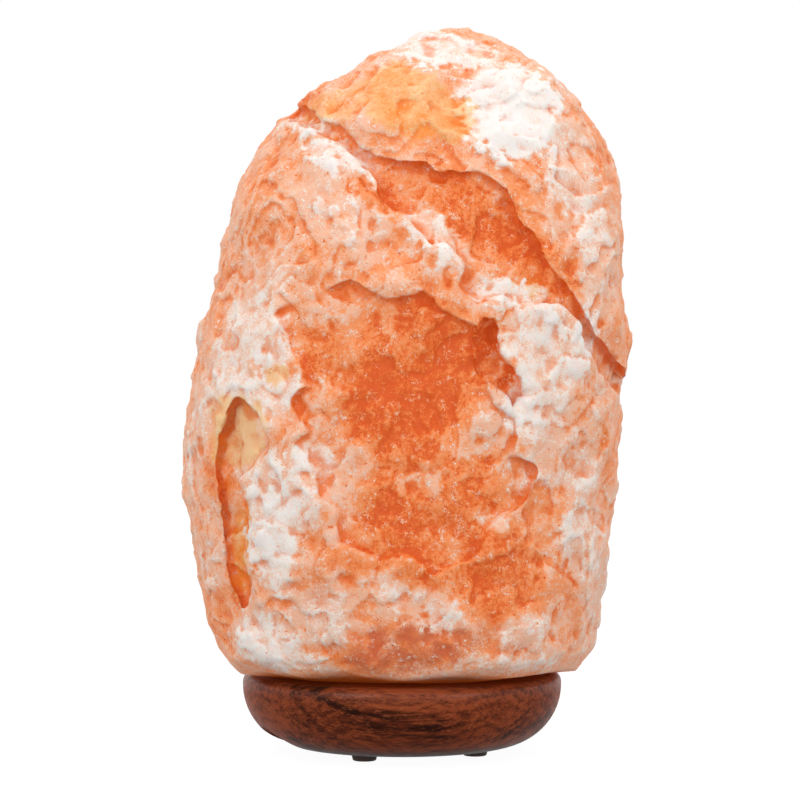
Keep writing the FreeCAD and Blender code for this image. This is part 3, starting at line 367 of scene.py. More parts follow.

# Milkiness of plain skin, and what is added by frost, clear patches, clouds, ledges, crests (partly crushed
# salt, partly painted highlight) and hollows (painted glow)
PLAIN_MILK, FROST_MILK, DEEP_MILK = 0.54, 0.31, -0.42
FRONT_CLOUDS, BACK_CLOUDS = 0.10, 0.62
LEDGE_MILK, CREST_MILK_AND_HIGHLIGHT, HOLLOW_PAINTED_GLOW = 0.03, 0.11, -0.20

# Where a patch starts to fade and where it ends, in shares of its half width and half height
SOFT_BORDER = (0.72, 1.22)
FROST_BORDER = (0.84, 1.10)
DEEP_BORDER = (0.62, 1.30)

# Patches of colour on the front: right of the axis, height, half width, half height, lean in degrees
# (a positive lean drops to the right), strength
FROST_PATCHES = (
    (37, 219, 18, 17, 35, 1.5),
    (16, 241, 20, 7, 8, 1.0),
    (-6, 236, 8, 4, -30, 0.45),
    (57, 200, 10, 20, -12, 0.8),
    (66, 172, 9, 26, -5, 0.5),
    (-19, 201, 15, 6, 25, 1.0),
    (9, 178, 12, 5, 20, 0.9),
    (17, 168, 6, 5, 30, 0.7),
    (-32, 214, 11, 3, 12, 0.8),
    (-25, 180, 22, 20, 35, 0.42),
    (-46, 160, 8, 22, 0, 0.35),
    (35, 157, 14, 4, 5, 0.9),
    (44, 141, 13, 13, 40, 0.85),
    (58, 139, 5, 17, 30, 1.0),
    (47, 122, 15, 14, 40, 0.75),
    (61, 112, 7, 22, -5, 0.7),
    (52, 100, 12, 9, 10, 0.5),
    (-48, 145, 12, 12, -10, 0.85),
    (-40, 128, 7, 15, 15, 0.8),
    (-58, 131, 8, 14, 0, 0.6),
    (-42, 82, 9, 24, -4, 1.0),
    (-30, 104, 9, 6, 25, 0.75),
    (-34, 88, 8, 12, 10, 0.6),
    (-45, 44, 12, 9, 0, 0.85),
    (-28, 52, 11, 11, 20, 0.5),
    (6, 96, 8, 6, -20, 0.75),
    (13, 55, 6, 8, 15, 0.7),
    (-1, 61, 10, 7, 30, 0.5),
    (-16, 45, 14, 7, 10, 0.6),
    (-4, 149, 3, 5, 0, 0.7),
    (20, 110, 8, 5, 15, 0.5),
    (60, 75, 6, 15, -8, 0.8),
    (-56, 114, 12, 20, 0, 0.75),
    (-64, 96, 8, 42, 0, 0.4),
    (66, 60, 7, 26, 0, 0.4),
    (42, 47, 13, 5, -8, 0.45),
    (38, 36, 15, 3, -4, 0.6),
    (-38, 36, 18, 3, 4, 0.7),
    (-8, 119, 5, 4, 30, 0.35),
    (30, 84, 6, 4, 20, 0.4),
)
DEEP_PATCHES = (
    (3, 128, 22, 30, 10, 0.95),
    (12, 129, 10, 16, 15, 1.0),
    (-2, 88, 13, 12, 0, 0.95),
    (28, 181, 28, 9, 38, 0.6),
    (47, 165, 12, 9, 40, 0.65),
    (26, 141, 3, 9, 12, 1.0),
    (35, 130, 2.5, 6, 20, 1.0),
    (-24, 168, 12, 7, 20, 0.4),
    (-10, 190, 12, 4, 35, 0.6),
    (-26, 139, 9, 9, 30, 0.6),
    (29, 66, 17, 15, -10, 0.6),
    (17, 80, 8, 12, 0, 0.7),
    (-40, 221, 14, 5, -25, 0.6),
    (58, 121, 4, 7, 0, 0.4),
    (-62, 97, 5, 12, 0, 0.45),
    (-36, 136, 3, 6, 10, 0.7),
    (-14, 74, 9, 8, 0, 0.45),
    (2, 72, 16, 9, 10, 0.55),
    (2, 42, 22, 7, -5, 0.55),
    (22, 96, 12, 9, 20, 0.55),
)
AMBER_PATCHES = (
    (3, 222, 18, 14, 25, 1.0),
    (17, 214, 7, 9, 20, 1.0),
    (-20, 222, 15, 8, -15, 0.7),
    (-55, 112, 11, 14, 0, 0.95),
    (-53, 72, 3, 17, 0, 1.0),
    (-41, 131, 3, 4, 0, 0.9),
    (43, 160, 4, 3, 0, 0.7),
    (-58, 88, 6, 9, 0, 0.5),
)
BROWN_PATCHES = (
    (4, 42, 25, 10, -5, 0.9),
    (-24, 60, 9, 12, 15, 0.45),
    (28, 45, 14, 7, 5, 0.5),
    (0, 190, 6, 3, 30, 0.35),
)


def smooth_step(low, high, values):
    """0 below low, 1 above high and an S-shaped rise between them."""
    share = np.clip((values - low) / (high - low), 0.0, 1.0)
    return share * share * (3.0 - 2.0 * share)


def patch_mask(patches, across, up, border=SOFT_BORDER):
    """How strongly any of the patches covers each point of the front."""
    covered = np.zeros_like(across)
    for right, height, half_width, half_height, lean, strength in patches:
        angle = math.radians(lean)
        dx, dz = across - right, up - height
        along = dx * math.cos(angle) - dz * math.sin(angle)
        beside = dx * math.sin(angle) + dz * math.cos(angle)
        reach = np.hypot(along / half_width, beside / half_height)
        covered = np.maximum(covered, strength * (1.0 - smooth_step(*border, reach)))
    return covered


def read_rows(items, name, width, kind=np.float32):
    """One property of a mesh's points or edges, a row for each."""
    flat = np.empty(len(items) * width, kind)
    items.foreach_get(name, flat)
    return flat.reshape(-1, width)


def place_points(mesh, points):
    """Moves a mesh's points to places given in millimetres."""
    mesh.vertices.foreach_set("co", (points * MM).astype(np.float32).ravel())
    mesh.update()


def averaged(points, edges, rounds):
    """Points drawn towards the mean of their neighbours, over and over."""
    count = len(points)
    a, b = edges[:, 0], edges[:, 1]
    degree = np.bincount(a, minlength=count) + np.bincount(b, minlength=count)
    degree = np.maximum(degree, 1)[:, None]
    for _ in range(rounds):
        near = np.empty_like(points)
        for axis in range(points.shape[1]):
            near[:, axis] = np.bincount(a, points[b, axis], count) + np.bincount(b, points[a, axis], count)
        points = 0.5 * points + 0.5 * near / degree
    return points


def stands_out(points, edges, normals, rounds):
    """How far each point lies above the mean of its surroundings, or below it where negative."""
    return np.einsum("ij,ij->i", points - averaged(points, edges, rounds), normals)


def outer_skin(points):
    """1 on the broken outside, 0 in the hollow, in the plug holes and on the flat seat."""
    bores = [(0.0, 0.0, HOLLOW_RADIUS, HOLLOW_TOP)]
    for turn in PLUG_TURNS:
        x, y = PLUG_RING_RADIUS * math.cos(turn), PLUG_RING_RADIUS * math.sin(turn)
        bores.append((x, y, PLUG_HOLE_RADIUS, PLUG_HOLE_TOP))
    skin = smooth_step(SKIN_STARTS, SKIN_WHOLE, points[:, 2])
    for x, y, radius, top in bores:
        from_axis = np.hypot(points[:, 0] - x, points[:, 1] - y)
        skin[(from_axis < radius + BORE_MARGIN) & (points[:, 2] < top + BORE_MARGIN)] = 0.0
    return skin


def stray_vector(p):
    """A smooth random vector that is the same in every run."""
    return np.array([noise.noise(p + seed) for seed in WANDER_SEEDS])


def salt_fields(points):
    """The salt's own patterns at each point: (how its edges stray, {pattern: values})."""
    wander = np.empty((len(points), 3))
    fields = {name: np.empty(len(points)) for name in (*PATTERNS, "grains")}
    for i, point in enumerate(points):
        p = Vector(point)
        wander[i] = stray_vector(p / WANDER_WIDTH)
        wander[i] += FINE_WANDER_SHARE * stray_vector(p / FINE_WANDER_WIDTH)
        for name, (width, roughness, step, octaves, seed) in PATTERNS.items():
            fields[name][i] = noise.fractal(p / width + seed, roughness, step, octaves)
        fields["grains"][i] = noise.voronoi(p / GRAIN_WIDTH)[0][0]
    return wander, fields


def stepped(pattern, ragged, steps, raggedness, riser):
    """A pattern turned into broad treads with ragged borders, each with a short riser."""
    level = steps * pattern + raggedness * ragged
    tread = np.floor(level)
    return tread + smooth_step(1.0 - riser, 1.0, level - tread)


def add_values(mesh, name, values):
    """Stores one value per point under a name that the material reads."""
    layer = mesh.attributes.new(name, "FLOAT", "POINT")
    layer.data.foreach_set("value", np.ascontiguousarray(values, np.float32))


def remeshed_copy(node, name, step):
    """A copy of a CAD piece, merged to one closed mesh with points at an even step."""
    mesh = node.data.copy()
    mesh.materials.clear()
    piece = bpy.data.objects.new(name, mesh)
    bpy.context.collection.objects.link(piece)
    only(piece)
    bpy.ops.object.mode_set(mode="EDIT")
    bpy.ops.mesh.select_all(action="SELECT")
    bpy.ops.mesh.remove_doubles(threshold=MERGE_REACH * MM)
    bpy.ops.mesh.normals_make_consistent(inside=False)
    bpy.ops.object.mode_set(mode="OBJECT")
    remesh = piece.modifiers.new("Skin", "REMESH")
    remesh.mode = "VOXEL"
    remesh.voxel_size = step
    bpy.ops.object.modifier_apply(modifier="Skin")
    return piece


def patch_fields(points, wander, fields):
    """How strongly each point is frosted, clear, amber and brown, and how far it is on the front."""
    stray = PATCH_RAGGED * fields["ragged"]
    across = points[:, 0] + PATCH_WANDER * wander[:, 0] + stray
    up = points[:, 2] + PATCH_WANDER * wander[:, 2] + stray
    front = 1.0 - smooth_step(FRONT_WHOLE, FRONT_ENDS, points[:, 1])
    frost = front * patch_mask(FROST_PATCHES, across, up, FROST_BORDER)
    deep = front * patch_mask(DEEP_PATCHES, across, up, DEEP_BORDER)
    brown = front * patch_mask(BROWN_PATCHES, across, up)
    amber_behind = (1.0 - front) * smooth_step(*AMBER_RANGE, fields["tint"])
    amber = np.maximum(front * patch_mask(AMBER_PATCHES, across, up), amber_behind)
    return frost, deep, amber, brown, front


def crystal_piece(sizes):
    """The lump of salt: the solid's form with its skin broken into plates, flakes and grains."""
    piece = remeshed_copy(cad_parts["salt_crystal"], "rock_salt_lump", sizes.mesh_step)
    mesh = piece.data
    edges = read_rows(mesh.edges, "vertices", 2, np.int32)
    points = read_rows(mesh.vertices, "co", 3).astype(np.float64) / MM
    skin = outer_skin(points)
    points += (averaged(points, edges, SKIN_ROUNDS) - points) * skin[:, None]

    wander, fields = salt_fields(points)
    rise = smooth_step(SEAT, RISE_WHOLE, points[:, 2])
    points += wander * (skin * rise * sizes.wander / MM)[:, None]
    place_points(mesh, points)
    normals = read_rows(mesh.vertices, "normal", 3).astype(np.float64)
    normals = averaged(normals, edges, NORMAL_ROUNDS)
    normals /= np.maximum(np.linalg.norm(normals, axis=1), 1e-6)[:, None]

    frost, deep, amber, brown, front = patch_fields(points, wander, fields)
    ragged = fields["ragged"]
    ledges = stepped(fields["layers"], ragged, *LEDGES)
    lift = sizes.swell * fields["swell"] + sizes.layer_step * ledges
    lift += sizes.chip_step * stepped(fields["chips"], ragged, *CHIPS)
    lift += PATCH_LIFT * MM * (frost - deep)
    lift *= rise
    lift += sizes.grain_height * (GRAIN_LEVEL - fields["grains"] + GRAIN_RAGGED * ragged)
    points += normals * (lift * skin / MM)[:, None]
    points[:, 2] = np.maximum(points[:, 2], SEAT)
    place_points(mesh, points)

    out = stands_out(points, edges, normals, NEAR_ROUNDS)
    out += BROAD_SHARE * stands_out(points, edges, normals, BROAD_ROUNDS)
    crest = smooth_step(*CREST_RANGE, out)
    hollow_glow = smooth_step(*CAVITY_RANGE, -out)
    clouds = fields["clouds"]
    milk = PLAIN_MILK + front * (FROST_MILK * frost + DEEP_MILK * deep + FRONT_CLOUDS * clouds)
    milk += (1.0 - front) * BACK_CLOUDS * clouds
    # Crests are whitened partly as crushed salt and partly as painted highlight; hollows lose milk as a
    # painted glow.
    milk += LEDGE_MILK * ledges + CREST_MILK_AND_HIGHLIGHT * crest + HOLLOW_PAINTED_GLOW * hollow_glow
    add_values(mesh, "salt_milk", np.clip(milk, 0, 1) * skin)
    add_values(mesh, "salt_amber", np.clip(amber, 0, 1) * skin)
    add_values(mesh, "salt_brown", np.clip(brown, 0, 1) * skin)
    # Painted glow: the hollows' mask, which the material uses to paint them towards ember orange.
    add_values(mesh, "salt_hollow_glow", hollow_glow * skin)

    thin = piece.modifiers.new("Thin", "DECIMATE")
    thin.ratio = min(1.0, sizes.triangles / (2 * len(mesh.polygons)))
    bpy.ops.object.modifier_apply(modifier="Thin")
    bpy.ops.object.shade_smooth()
    return piece


def read_value(tree, name):
    return add(tree, "ShaderNodeAttribute", attribute_name=name).outputs["Fac"]


def colour_steps(tree, value, stops):
    """A colour read off a scale of (place, colour) stops."""
    node = add(tree, "ShaderNodeValToRGB", {"Fac": value})
    scale = node.color_ramp.elements
    while len(scale) < len(stops):
        scale.new(0.5)
    for mark, (place, colour) in zip(scale, stops):
        mark.position = place
        mark.color = opaque(colour)
    return node.outputs["Color"]


# Patterns in the salt's finish: scale, detail, roughness
CLOUDS = (60.0, 4.0, 0.55)
CURDS = (190.0, 4.0, 0.6)
CRUMBS = (700.0, 5.0, 0.75)
SUGAR = (1900.0, 3.0, 0.7)
PITS = (800.0, 2.0, 0.6)
FACET_SCALE = 240.0
TORN_SCALE, TORN_REACH = 330.0, 0.006

# Fine lines in the salt, whitened partly as crumbly salt and partly as painted highlight on tiny ridges:
# scale, share of a wave that is line, scale of the patches that hold them, and the levels at which a patch
# starts and is full
CRUMB_LINES = (260.0, 0.016, 120.0, 0.50, 0.62)
THREADS = (560.0, 0.045, 330.0, 0.53, 0.62)


def torn_place(tree, place):
    """The place moved a little by noise, so that a pattern on it has torn borders."""
    pattern = {"Vector": place, "Scale": TORN_SCALE, "Detail": 3.0}
    stray = add(tree, "ShaderNodeTexNoise", pattern).outputs["Color"]
    stray = vector_maths(tree, "SUBTRACT", {0: stray, 1: (0.5, 0.5, 0.5)})
    stray = vector_maths(tree, "SCALE", {0: stray, "Scale": TORN_REACH})
    return vector_maths(tree, "ADD", {0: place, 1: stray})


def fine_lines(tree, place, torn, scale, width, patch_scale, starts, full):
    """Thin lines where a noise crosses its middle, inside the patches of a broader one."""
    crossing = maths(tree, "ABSOLUTE", maths(tree, "SUBTRACT", noise_at(tree, torn, scale, 2.0), 0.5))
    lines = ramp(tree, crossing, 0.0, width, 1.0, 0.0)
    return times(tree, lines, ramp(tree, noise_at(tree, place, patch_scale, 2.0), starts, full))


def rock_salt_material(colours):
    """Rock salt: orange and clear inside, milky and powdery where it has been broken or rubbed, with a
    painted glow in the clear salt and the hollows, painted highlights on fine ridges and crests, and painted
    shade in small pits.
    """
    material, tree, shader = new_material("Rock salt")
    place = object_place(tree)
    torn = torn_place(tree, place)
    clouds = noise_at(tree, torn, *CLOUDS)
    curds = noise_at(tree, torn, *CURDS)
    crumbs = noise_at(tree, place, *CRUMBS)
    sugar = noise_at(tree, place, *SUGAR)
    facets = add(tree, "ShaderNodeTexVoronoi", {"Vector": torn, "Scale": FACET_SCALE}).outputs["Color"]
    facet_tone = add(tree, "ShaderNodeSeparateColor", {"Color": facets}).outputs[0]
    # Thin white lines on tiny ridges: partly crumbly salt, partly painted highlight.
    highlit_crumb_lines = fine_lines(tree, place, torn, *CRUMB_LINES)
    highlit_threads = fine_lines(tree, place, torn, *THREADS)
    # Painted shade: the pits are small dips, and their colour is made darker and more orange as the shade in
    # them.
    pits = ramp(tree, noise_at(tree, place, *PITS), 0.66, 0.73)

    broad_milk = total(tree, read_value(tree, "salt_milk"), swing(tree, clouds, 0.44))
    clear = ramp(tree, broad_milk, 0.20, 0.62, 1.0, 0.0)
    clear_grain = total(tree, swing(tree, crumbs, 0.9), times(tree, highlit_threads, 0.25))
    milk = total(
        tree,
        broad_milk,
        times(tree, clear, clear_grain),
        swing(tree, curds, 0.28),
        swing(tree, crumbs, 0.48),
        swing(tree, sugar, 0.60),
        swing(tree, facet_tone, 0.08),
        # White lines whitened partly as crumbly salt and partly as painted highlight; pits darkened as
        # painted shade.
        weighted(tree, (highlit_crumb_lines, 0.26), (highlit_threads, 0.34), (pits, -0.45)),
    )
    stops = (
        (0.06, colours.ember),
        (0.22, colours.orange),
        (0.42, colours.salmon),
        (0.50, colours.salmon),
        (0.60, colours.pink),
        (0.70, colours.pink),
        (0.84, colours.frost),
        (1.0, colours.snow),
    )
    colour = colour_steps(tree, milk, stops)
    yellow = mix(tree, ramp(tree, milk, 0.30, 0.90), opaque(colours.amber), opaque(colours.pale_amber))
    amber = total(tree, read_value(tree, "salt_amber"), swing(tree, curds, 1.2), swing(tree, crumbs, 0.9))
    colour = mix(tree, ramp(tree, amber, 0.25, 1.0), colour, yellow)
    brown = total(tree, read_value(tree, "salt_brown"), swing(tree, curds, 0.9), swing(tree, crumbs, 0.5))
    brown = times(tree, ramp(tree, brown, 0.1, 1.1), ramp(tree, milk, 0.85, 0.35))
    brown = times(tree, brown, ramp(tree, curds, 0.36, 0.60, 0.35, 1.0))
    colour = mix(tree, brown, colour, opaque(colours.brown))
    # Painted glow: the hollows are painted towards the deep ember orange of the light inside.
    hollow_glow = times(tree, read_value(tree, "salt_hollow_glow"), ramp(tree, crumbs, 0.35, 0.6, 0.1, 0.45))
    plug(tree, shader, "Base Color", mix(tree, hollow_glow, colour, opaque(colours.ember)))

    powder = ramp(tree, milk, 0.35, 0.85)
    roughness = total(tree, times(tree, powder, 0.38), 0.36, swing(tree, sugar, 0.3))
    plug(tree, shader, "Roughness", roughness)
    height = weighted(
        tree,
        (curds, 0.35),
        (crumbs, 1.2),
        (sugar, 0.8),
        (facet_tone, 0.10),
        (highlit_crumb_lines, 0.3),
        (highlit_threads, 0.4),
        (pits, -0.9),
    )
    plug(tree, shader, "Normal", bump(tree, height, 0.5, 0.0009))
    # Painted glow: clear salt gives off a faint orange light of its own, standing in for the bulb's light
    # shining through it; milky, powdery salt gives none.
    plug(tree, shader, "Emission Color", mix(tree, powder, opaque(colours.orange), (0.0, 0.0, 0.0, 1.0)))
    depth = {"Subsurface Weight": 0.12, "Subsurface Radius": (1.0, 0.4, 0.2), "Subsurface Scale": 0.0015}
    plug_all(tree, shader, depth)
    plug_all(tree, shader, {"Specular IOR Level": 0.28, "IOR": 1.54, "Emission Strength": 0.10})
    return material


class SALTLAMP_OT_crystal(bpy.types.Operator):
    """Make the lump of rock salt"""

    bl_idname = "saltlamp.crystal"
    bl_label = "Rock salt"

    def execute(self, context):
        sizes = settings("salt_crystal_settings")
        piece = crystal_piece(sizes)
        give(piece, rock_salt_material(sizes))
        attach(piece, "lamp_body")
        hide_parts("salt_crystal")
        return {"FINISHED"}


# ---------------------------------------------------------------- wooden base
WOOD_TURN = (0.10, 0.28, 0.30)      # how the grain lies to the axes, in radians

# Patterns of the wood: share of their width that shows along the grain, scale, detail, roughness
FIBRES = (0.07, 620.0, 6.0, 0.7)
BANDS = (0.30, 55.0, 4.0, 0.55)
PINS = (0.16, 1700.0, 3.0, 0.75)
FLECKS = (0.35, 900.0, 4.0, 0.7)
PORES = (0.12, 1500.0, 2.0, 0.55)

RING_HEART, RING_DRIFT = (0.0, 0.05, 0.085), 0.030      # where the rings' centre lies, and their stray
VEIN_SHIFT = (0.0, 0.0, 0.006)

# Dark streaks of the grain across the front: from (right of the axis, height), to (right, height),
# half width, strength
DARK_STREAKS = (
    ((-30.0, 25.5), (-12.0, 19.5), 1.5, 0.9),
    ((-20.0, 21.5), (-3.0, 18.5), 1.1, 0.8),
    ((-36.0, 24.0), (-27.0, 14.0), 1.4, 0.55),
    ((-29.0, 15.5), (-17.0, 6.5), 1.3, 0.6),
    ((-40.0, 19.0), (-31.0, 8.0), 0.5, 0.5),
    ((8.0, 12.5), (20.0, 11.5), 1.2, 0.6),
)
STREAK_STRAY = 0.006

# Heights in the base: where the painted shade round the lower edge, standing in for the shadow under the
# base, is full and ends, and where the varnish of the shoulder begins and is whole
SHADE_FULL, SHADE_ENDS = WOOD_LOW.z + 0.0005, WOOD_LOW.z + 0.0045
VARNISH_STARTS, VARNISH_WHOLE = BASE_TOP - 0.006, BASE_TOP - 0.002


def along_grain(tree, length, scale, detail, roughness):
    """A noise drawn out along the grain of the wood."""
    return noise_at(tree, object_place(tree, (length, 1.0, 1.0), WOOD_TURN), scale, detail, roughness)


def growth_rings(tree, spacing):
    """Dark and light rings round a heart that lies below the base."""
    drift = noise_at(tree, object_place(tree), 20.0, 3.0, 0.5)
    place = object_place(tree, (0.25, 1.0, 1.0), WOOD_TURN, RING_HEART)
    parts = add(tree, "ShaderNodeSeparateXYZ", {"Vector": place}).outputs
    squares = (maths(tree, "POWER", maths(tree, "ABSOLUTE", parts[axis]), 2.0) for axis in "YZ")
    reach = maths(tree, "SQRT", total(tree, *squares))
    turn = times(tree, total(tree, reach, times(tree, drift, RING_DRIFT)), 2.0 * math.pi / spacing)
    return maths(tree, "MULTIPLY_ADD", maths(tree, "SINE", turn), 0.5, 0.5)


def streak_mask(tree, place, stray, streak):
    """How strongly one dark streak covers each point, fading out at its ends."""
    (x_from, z_from), (x_to, z_to), half_width, strength = streak
    length = math.hypot(x_to - x_from, z_to - z_from)
    lean_x, lean_z = (x_to - x_from) / length, (z_to - z_from) / length
    right = maths(tree, "SUBTRACT", place["X"], x_from * MM)
    up = maths(tree, "SUBTRACT", place["Z"], z_from * MM)
    along = weighted(tree, (right, lean_x), (up, lean_z))
    beside = total(tree, weighted(tree, (right, -lean_z), (up, lean_x)), stray)
    off = maths(tree, "ABSOLUTE", beside)
    covered = ramp(tree, off, 0.1 * half_width * MM, half_width * MM, strength, 0.0)
    covered = times(tree, covered, ramp(tree, along, -0.15 * length * MM, 0.25 * length * MM))
    return times(tree, covered, ramp(tree, along, 1.2 * length * MM, 0.7 * length * MM))


def turned_wood_material(colours):
    """Dark turned wood under satin varnish: rings, bands, streaks, veins, flecks and pores, and painted
    shade round the lower edge.
    """
    material, tree, shader = new_material("Turned wood")
    place = add(tree, "ShaderNodeSeparateXYZ", {"Vector": object_place(tree)}).outputs
    rings = growth_rings(tree, colours.ring_spacing)
    fibres = along_grain(tree, *FIBRES)
    bands = along_grain(tree, *BANDS)
    pins = along_grain(tree, *PINS)
    dark = total(
        tree,
        0.37,
        swing(tree, rings, 0.30),
        swing(tree, fibres, 2.2),
        swing(tree, bands, 1.6),
        swing(tree, pins, 2.2),
    )
    colour = mix(tree, ramp(tree, dark, 0.0, 1.0), opaque(colours.light_wood), opaque(colours.dark_wood))

    vein_place = object_place(tree, (0.28, 1.0, 1.0), WOOD_TURN, VEIN_SHIFT)
    veins = total(tree, noise_at(tree, vein_place, 42.0, 5.0, 0.6, 0.6), swing(tree, fibres, 0.25))
    colour = mix(tree, ramp(tree, veins, 0.565, 0.68, 0.0, 0.9), colour, opaque(colours.vein))
    stray = total(tree, swing(tree, bands, STREAK_STRAY), swing(tree, fibres, 0.8 * STREAK_STRAY))
    for streak in DARK_STREAKS:
        colour = mix(tree, streak_mask(tree, place, stray, streak), colour, opaque(colours.vein))

    flecks = along_grain(tree, *FLECKS)
    colour = mix(tree, ramp(tree, flecks, 0.55, 0.68, 0.0, 0.55), colour, opaque(colours.fleck))
    pores = ramp(tree, along_grain(tree, *PORES), 0.62, 0.70)
    colour = mix(tree, times(tree, pores, 0.6), colour, opaque(colours.vein))
    # Painted shade: the wood darkens towards its lower edge, standing in for the shadow under the base.
    level = total(tree, place["Z"], swing(tree, bands, 0.003))
    painted_shade_share = ramp(tree, level, SHADE_FULL, SHADE_ENDS, 0.95, 0.0)
    plug(tree, shader, "Base Color", mix(tree, painted_shade_share, colour, opaque(colours.underside_shade)))

    grain = placed(tree, fine_grain_group(), Scale=1400.0, Amount=0.25)
    plug(tree, shader, "Roughness", total(tree, 0.42, grain["Mottle"], times(tree, pores, 0.2)))
    height = weighted(tree, (flecks, 0.6), (pores, -1.0))
    plug(tree, shader, "Normal", bump(tree, height, 0.35, 0.0002))
    varnish = ramp(tree, place["Z"], VARNISH_STARTS, VARNISH_WHOLE, 0.0, 0.25)
    plug(tree, shader, "Coat Weight", varnish)
    plug_all(tree, shader, {"Coat Roughness": 0.2, "Specular IOR Level": 0.04})
    return material


class SALTLAMP_OT_wood_base(bpy.types.Operator):
    """Finish the turned wooden base"""

    bl_idname = "saltlamp.wood_base"
    bl_label = "Wooden base"

    def execute(self, context):
        finish(turned_wood_material(settings("wood_base_settings")), "wood_base")
        return {"FINISHED"}


# ---------------------------------------------------------------- small parts
def plain_material(name, colour, roughness, metallic=0.0, scuffed=0.0, grain=0.0):
    """A finish for small parts: its colour, a little mottling, scuffs and a fine texture."""
    material, tree, shader = new_material(name)
    soft = placed(tree, fine_grain_group(), Scale=2500.0, Amount=grain + 0.15)
    worn = placed(tree, scuff_group(), Scale=700.0, Amount=scuffed)
    paler = tuple(min(1.0, c * 1.25 + 0.01) for c in colour)
    darker = tuple(c * 0.72 for c in colour)
    mottle = ramp(tree, soft["Mottle"], -0.06, 0.06)
    plug(tree, shader, "Base Color", mix(tree, mottle, opaque(darker), opaque(paler)))
    dull = times(tree, worn["Dull"], 0.3)
    plug(tree, shader, "Roughness", maths(tree, "ADD", dull, roughness, clamp=True))
    height = total(tree, soft["Height"], times(tree, worn["Height"], 0.3 * scuffed))
    plug(tree, shader, "Normal", bump(tree, height, 0.2, 0.0001))
    plug_all(tree, shader, {"Metallic": metallic})
    return material


def glass_material(name, tint, roughness):
    """Thin clear glass with a faint haze of dust."""
    material, tree, shader = new_material(name)
    dust = placed(tree, fine_grain_group(), Scale=600.0, Amount=1.0)
    plug(tree, shader, "Roughness", ramp(tree, dust["Mottle"], -0.1, 0.2, roughness, roughness + 0.06))
    plug_all(tree, shader, {"Base Color": opaque(tint), "Transmission Weight": 1.0, "IOR": 1.5})
    return material


class SALTLAMP_OT_feet_and_screws(bpy.types.Operator):
    """Finish the feet, their pins, the base's screws and their plugs"""

    bl_idname = "saltlamp.feet_and_screws"
    bl_label = "Feet and screws"

    def execute(self, context):
        zinc = plain_material("Zinc plate", linear(186, 188, 192), 0.30, metallic=1.0, scuffed=0.8)
        finish(zinc, "foot_pins", "base_screws")
        finish(plain_material("Foot rubber", linear(52, 31, 23), 0.75, grain=0.8), "rubber_feet")
        finish(plain_material("Plug nylon", linear(205, 203, 196), 0.5, grain=0.4), "screw_plugs")
        return {"FINISHED"}


class SALTLAMP_OT_light_unit(bpy.types.Operator):
    """Finish the plate, the spring clips and the lampholder"""

    bl_idname = "saltlamp.light_unit"
    bl_label = "Light unit"

    def execute(self, context):
        zinc = plain_material("Bright zinc", linear(190, 192, 196), 0.28, metallic=1.0, scuffed=1.0)
        finish(zinc, "clip_plate", "clip_rivets")
        steel = plain_material("Spring steel", linear(150, 152, 158), 0.24, metallic=1.0, scuffed=0.7)
        finish(steel, "clip_feet", "spring_clip_1", "spring_clip_2", "spring_clip_3")
        resin = plain_material("Holder resin", linear(30, 26, 24), 0.38, scuffed=0.4, grain=0.3)
        finish(resin, "lampholder_body", "lampholder_cap")
        brass = plain_material("Holder brass", linear(214, 176, 98), 0.26, metallic=1.0, scuffed=0.6)
        finish(brass, "screw_shell", "centre_contact", "shell_terminal", "terminal_screws")
        finish(plain_material("Bush rubber", linear(28, 28, 28), 0.7, grain=0.6), "cord_grommet")
        return {"FINISHED"}


class SALTLAMP_OT_candle_lamp(bpy.types.Operator):
    """Finish the candle lamp"""

    bl_idname = "saltlamp.candle_lamp"
    bl_label = "Candle lamp"

    def execute(self, context):
        finish(glass_material("Lamp glass", (1.0, 0.99, 0.97), 0.02), "bulb_glass", "bulb_stem")
        nickel = plain_material("Cap nickel", linear(200, 196, 184), 0.25, metallic=1.0, scuffed=0.5)
        finish(nickel, "bulb_screw_cap")
        finish(plain_material("Cap glass", linear(24, 24, 30), 0.12), "bulb_cap_insulator")
        solder = plain_material("Solder", linear(170, 170, 166), 0.45, metallic=1.0, scuffed=0.5)
        finish(solder, "bulb_tip_contact")
        finish(plain_material("Lead wire", linear(176, 170, 158), 0.3, metallic=1.0), "bulb_lead_wires")
        finish(plain_material("Filament", linear(92, 92, 96), 0.5, metallic=1.0), "bulb_filament")
        return {"FINISHED"}


# ---------------------------------------------------------------- stage
FLOOR_WIDTH, FLOOR_DROP = 12.0, 0.0002      # the floor lies a hair under the feet
FLOOR_WHITE, FLOOR_SEEN = 1.2, 0.80         # level of its white, and how much of it the eye sees
SENSOR_WIDTH = 36.0                         # millimetres
LIT_POINT = (0.0, 0.0, 0.13)

# Soft boxes: name, place, width, share of the key's power, colour
SOFT_BOXES = (
    ("Front left", (-0.75, -1.15, 0.75), 0.8, 1.0, (1.0, 0.985, 0.96)),
    ("Front right", (0.95, -0.95, 0.45), 0.7, 0.6, WHITE),
    ("Top", (0.1, 0.1, 1.2), 0.9, 0.6, WHITE),
)


def seen_share(tree):
    """1 for what the eye sees, in front of it, in a reflection or through glass, and 0 for light."""
    path = add(tree, "ShaderNodeLightPath").outputs
    seen = maths(tree, "ADD", path["Is Camera Ray"], path["Is Glossy Ray"])
    return maths(tree, "ADD", seen, path["Is Transmission Ray"], clamp=True)


def blend_shaders(tree, share, first, second):
    return add(tree, "ShaderNodeMixShader", {0: share, 1: first, 2: second}).outputs[0]


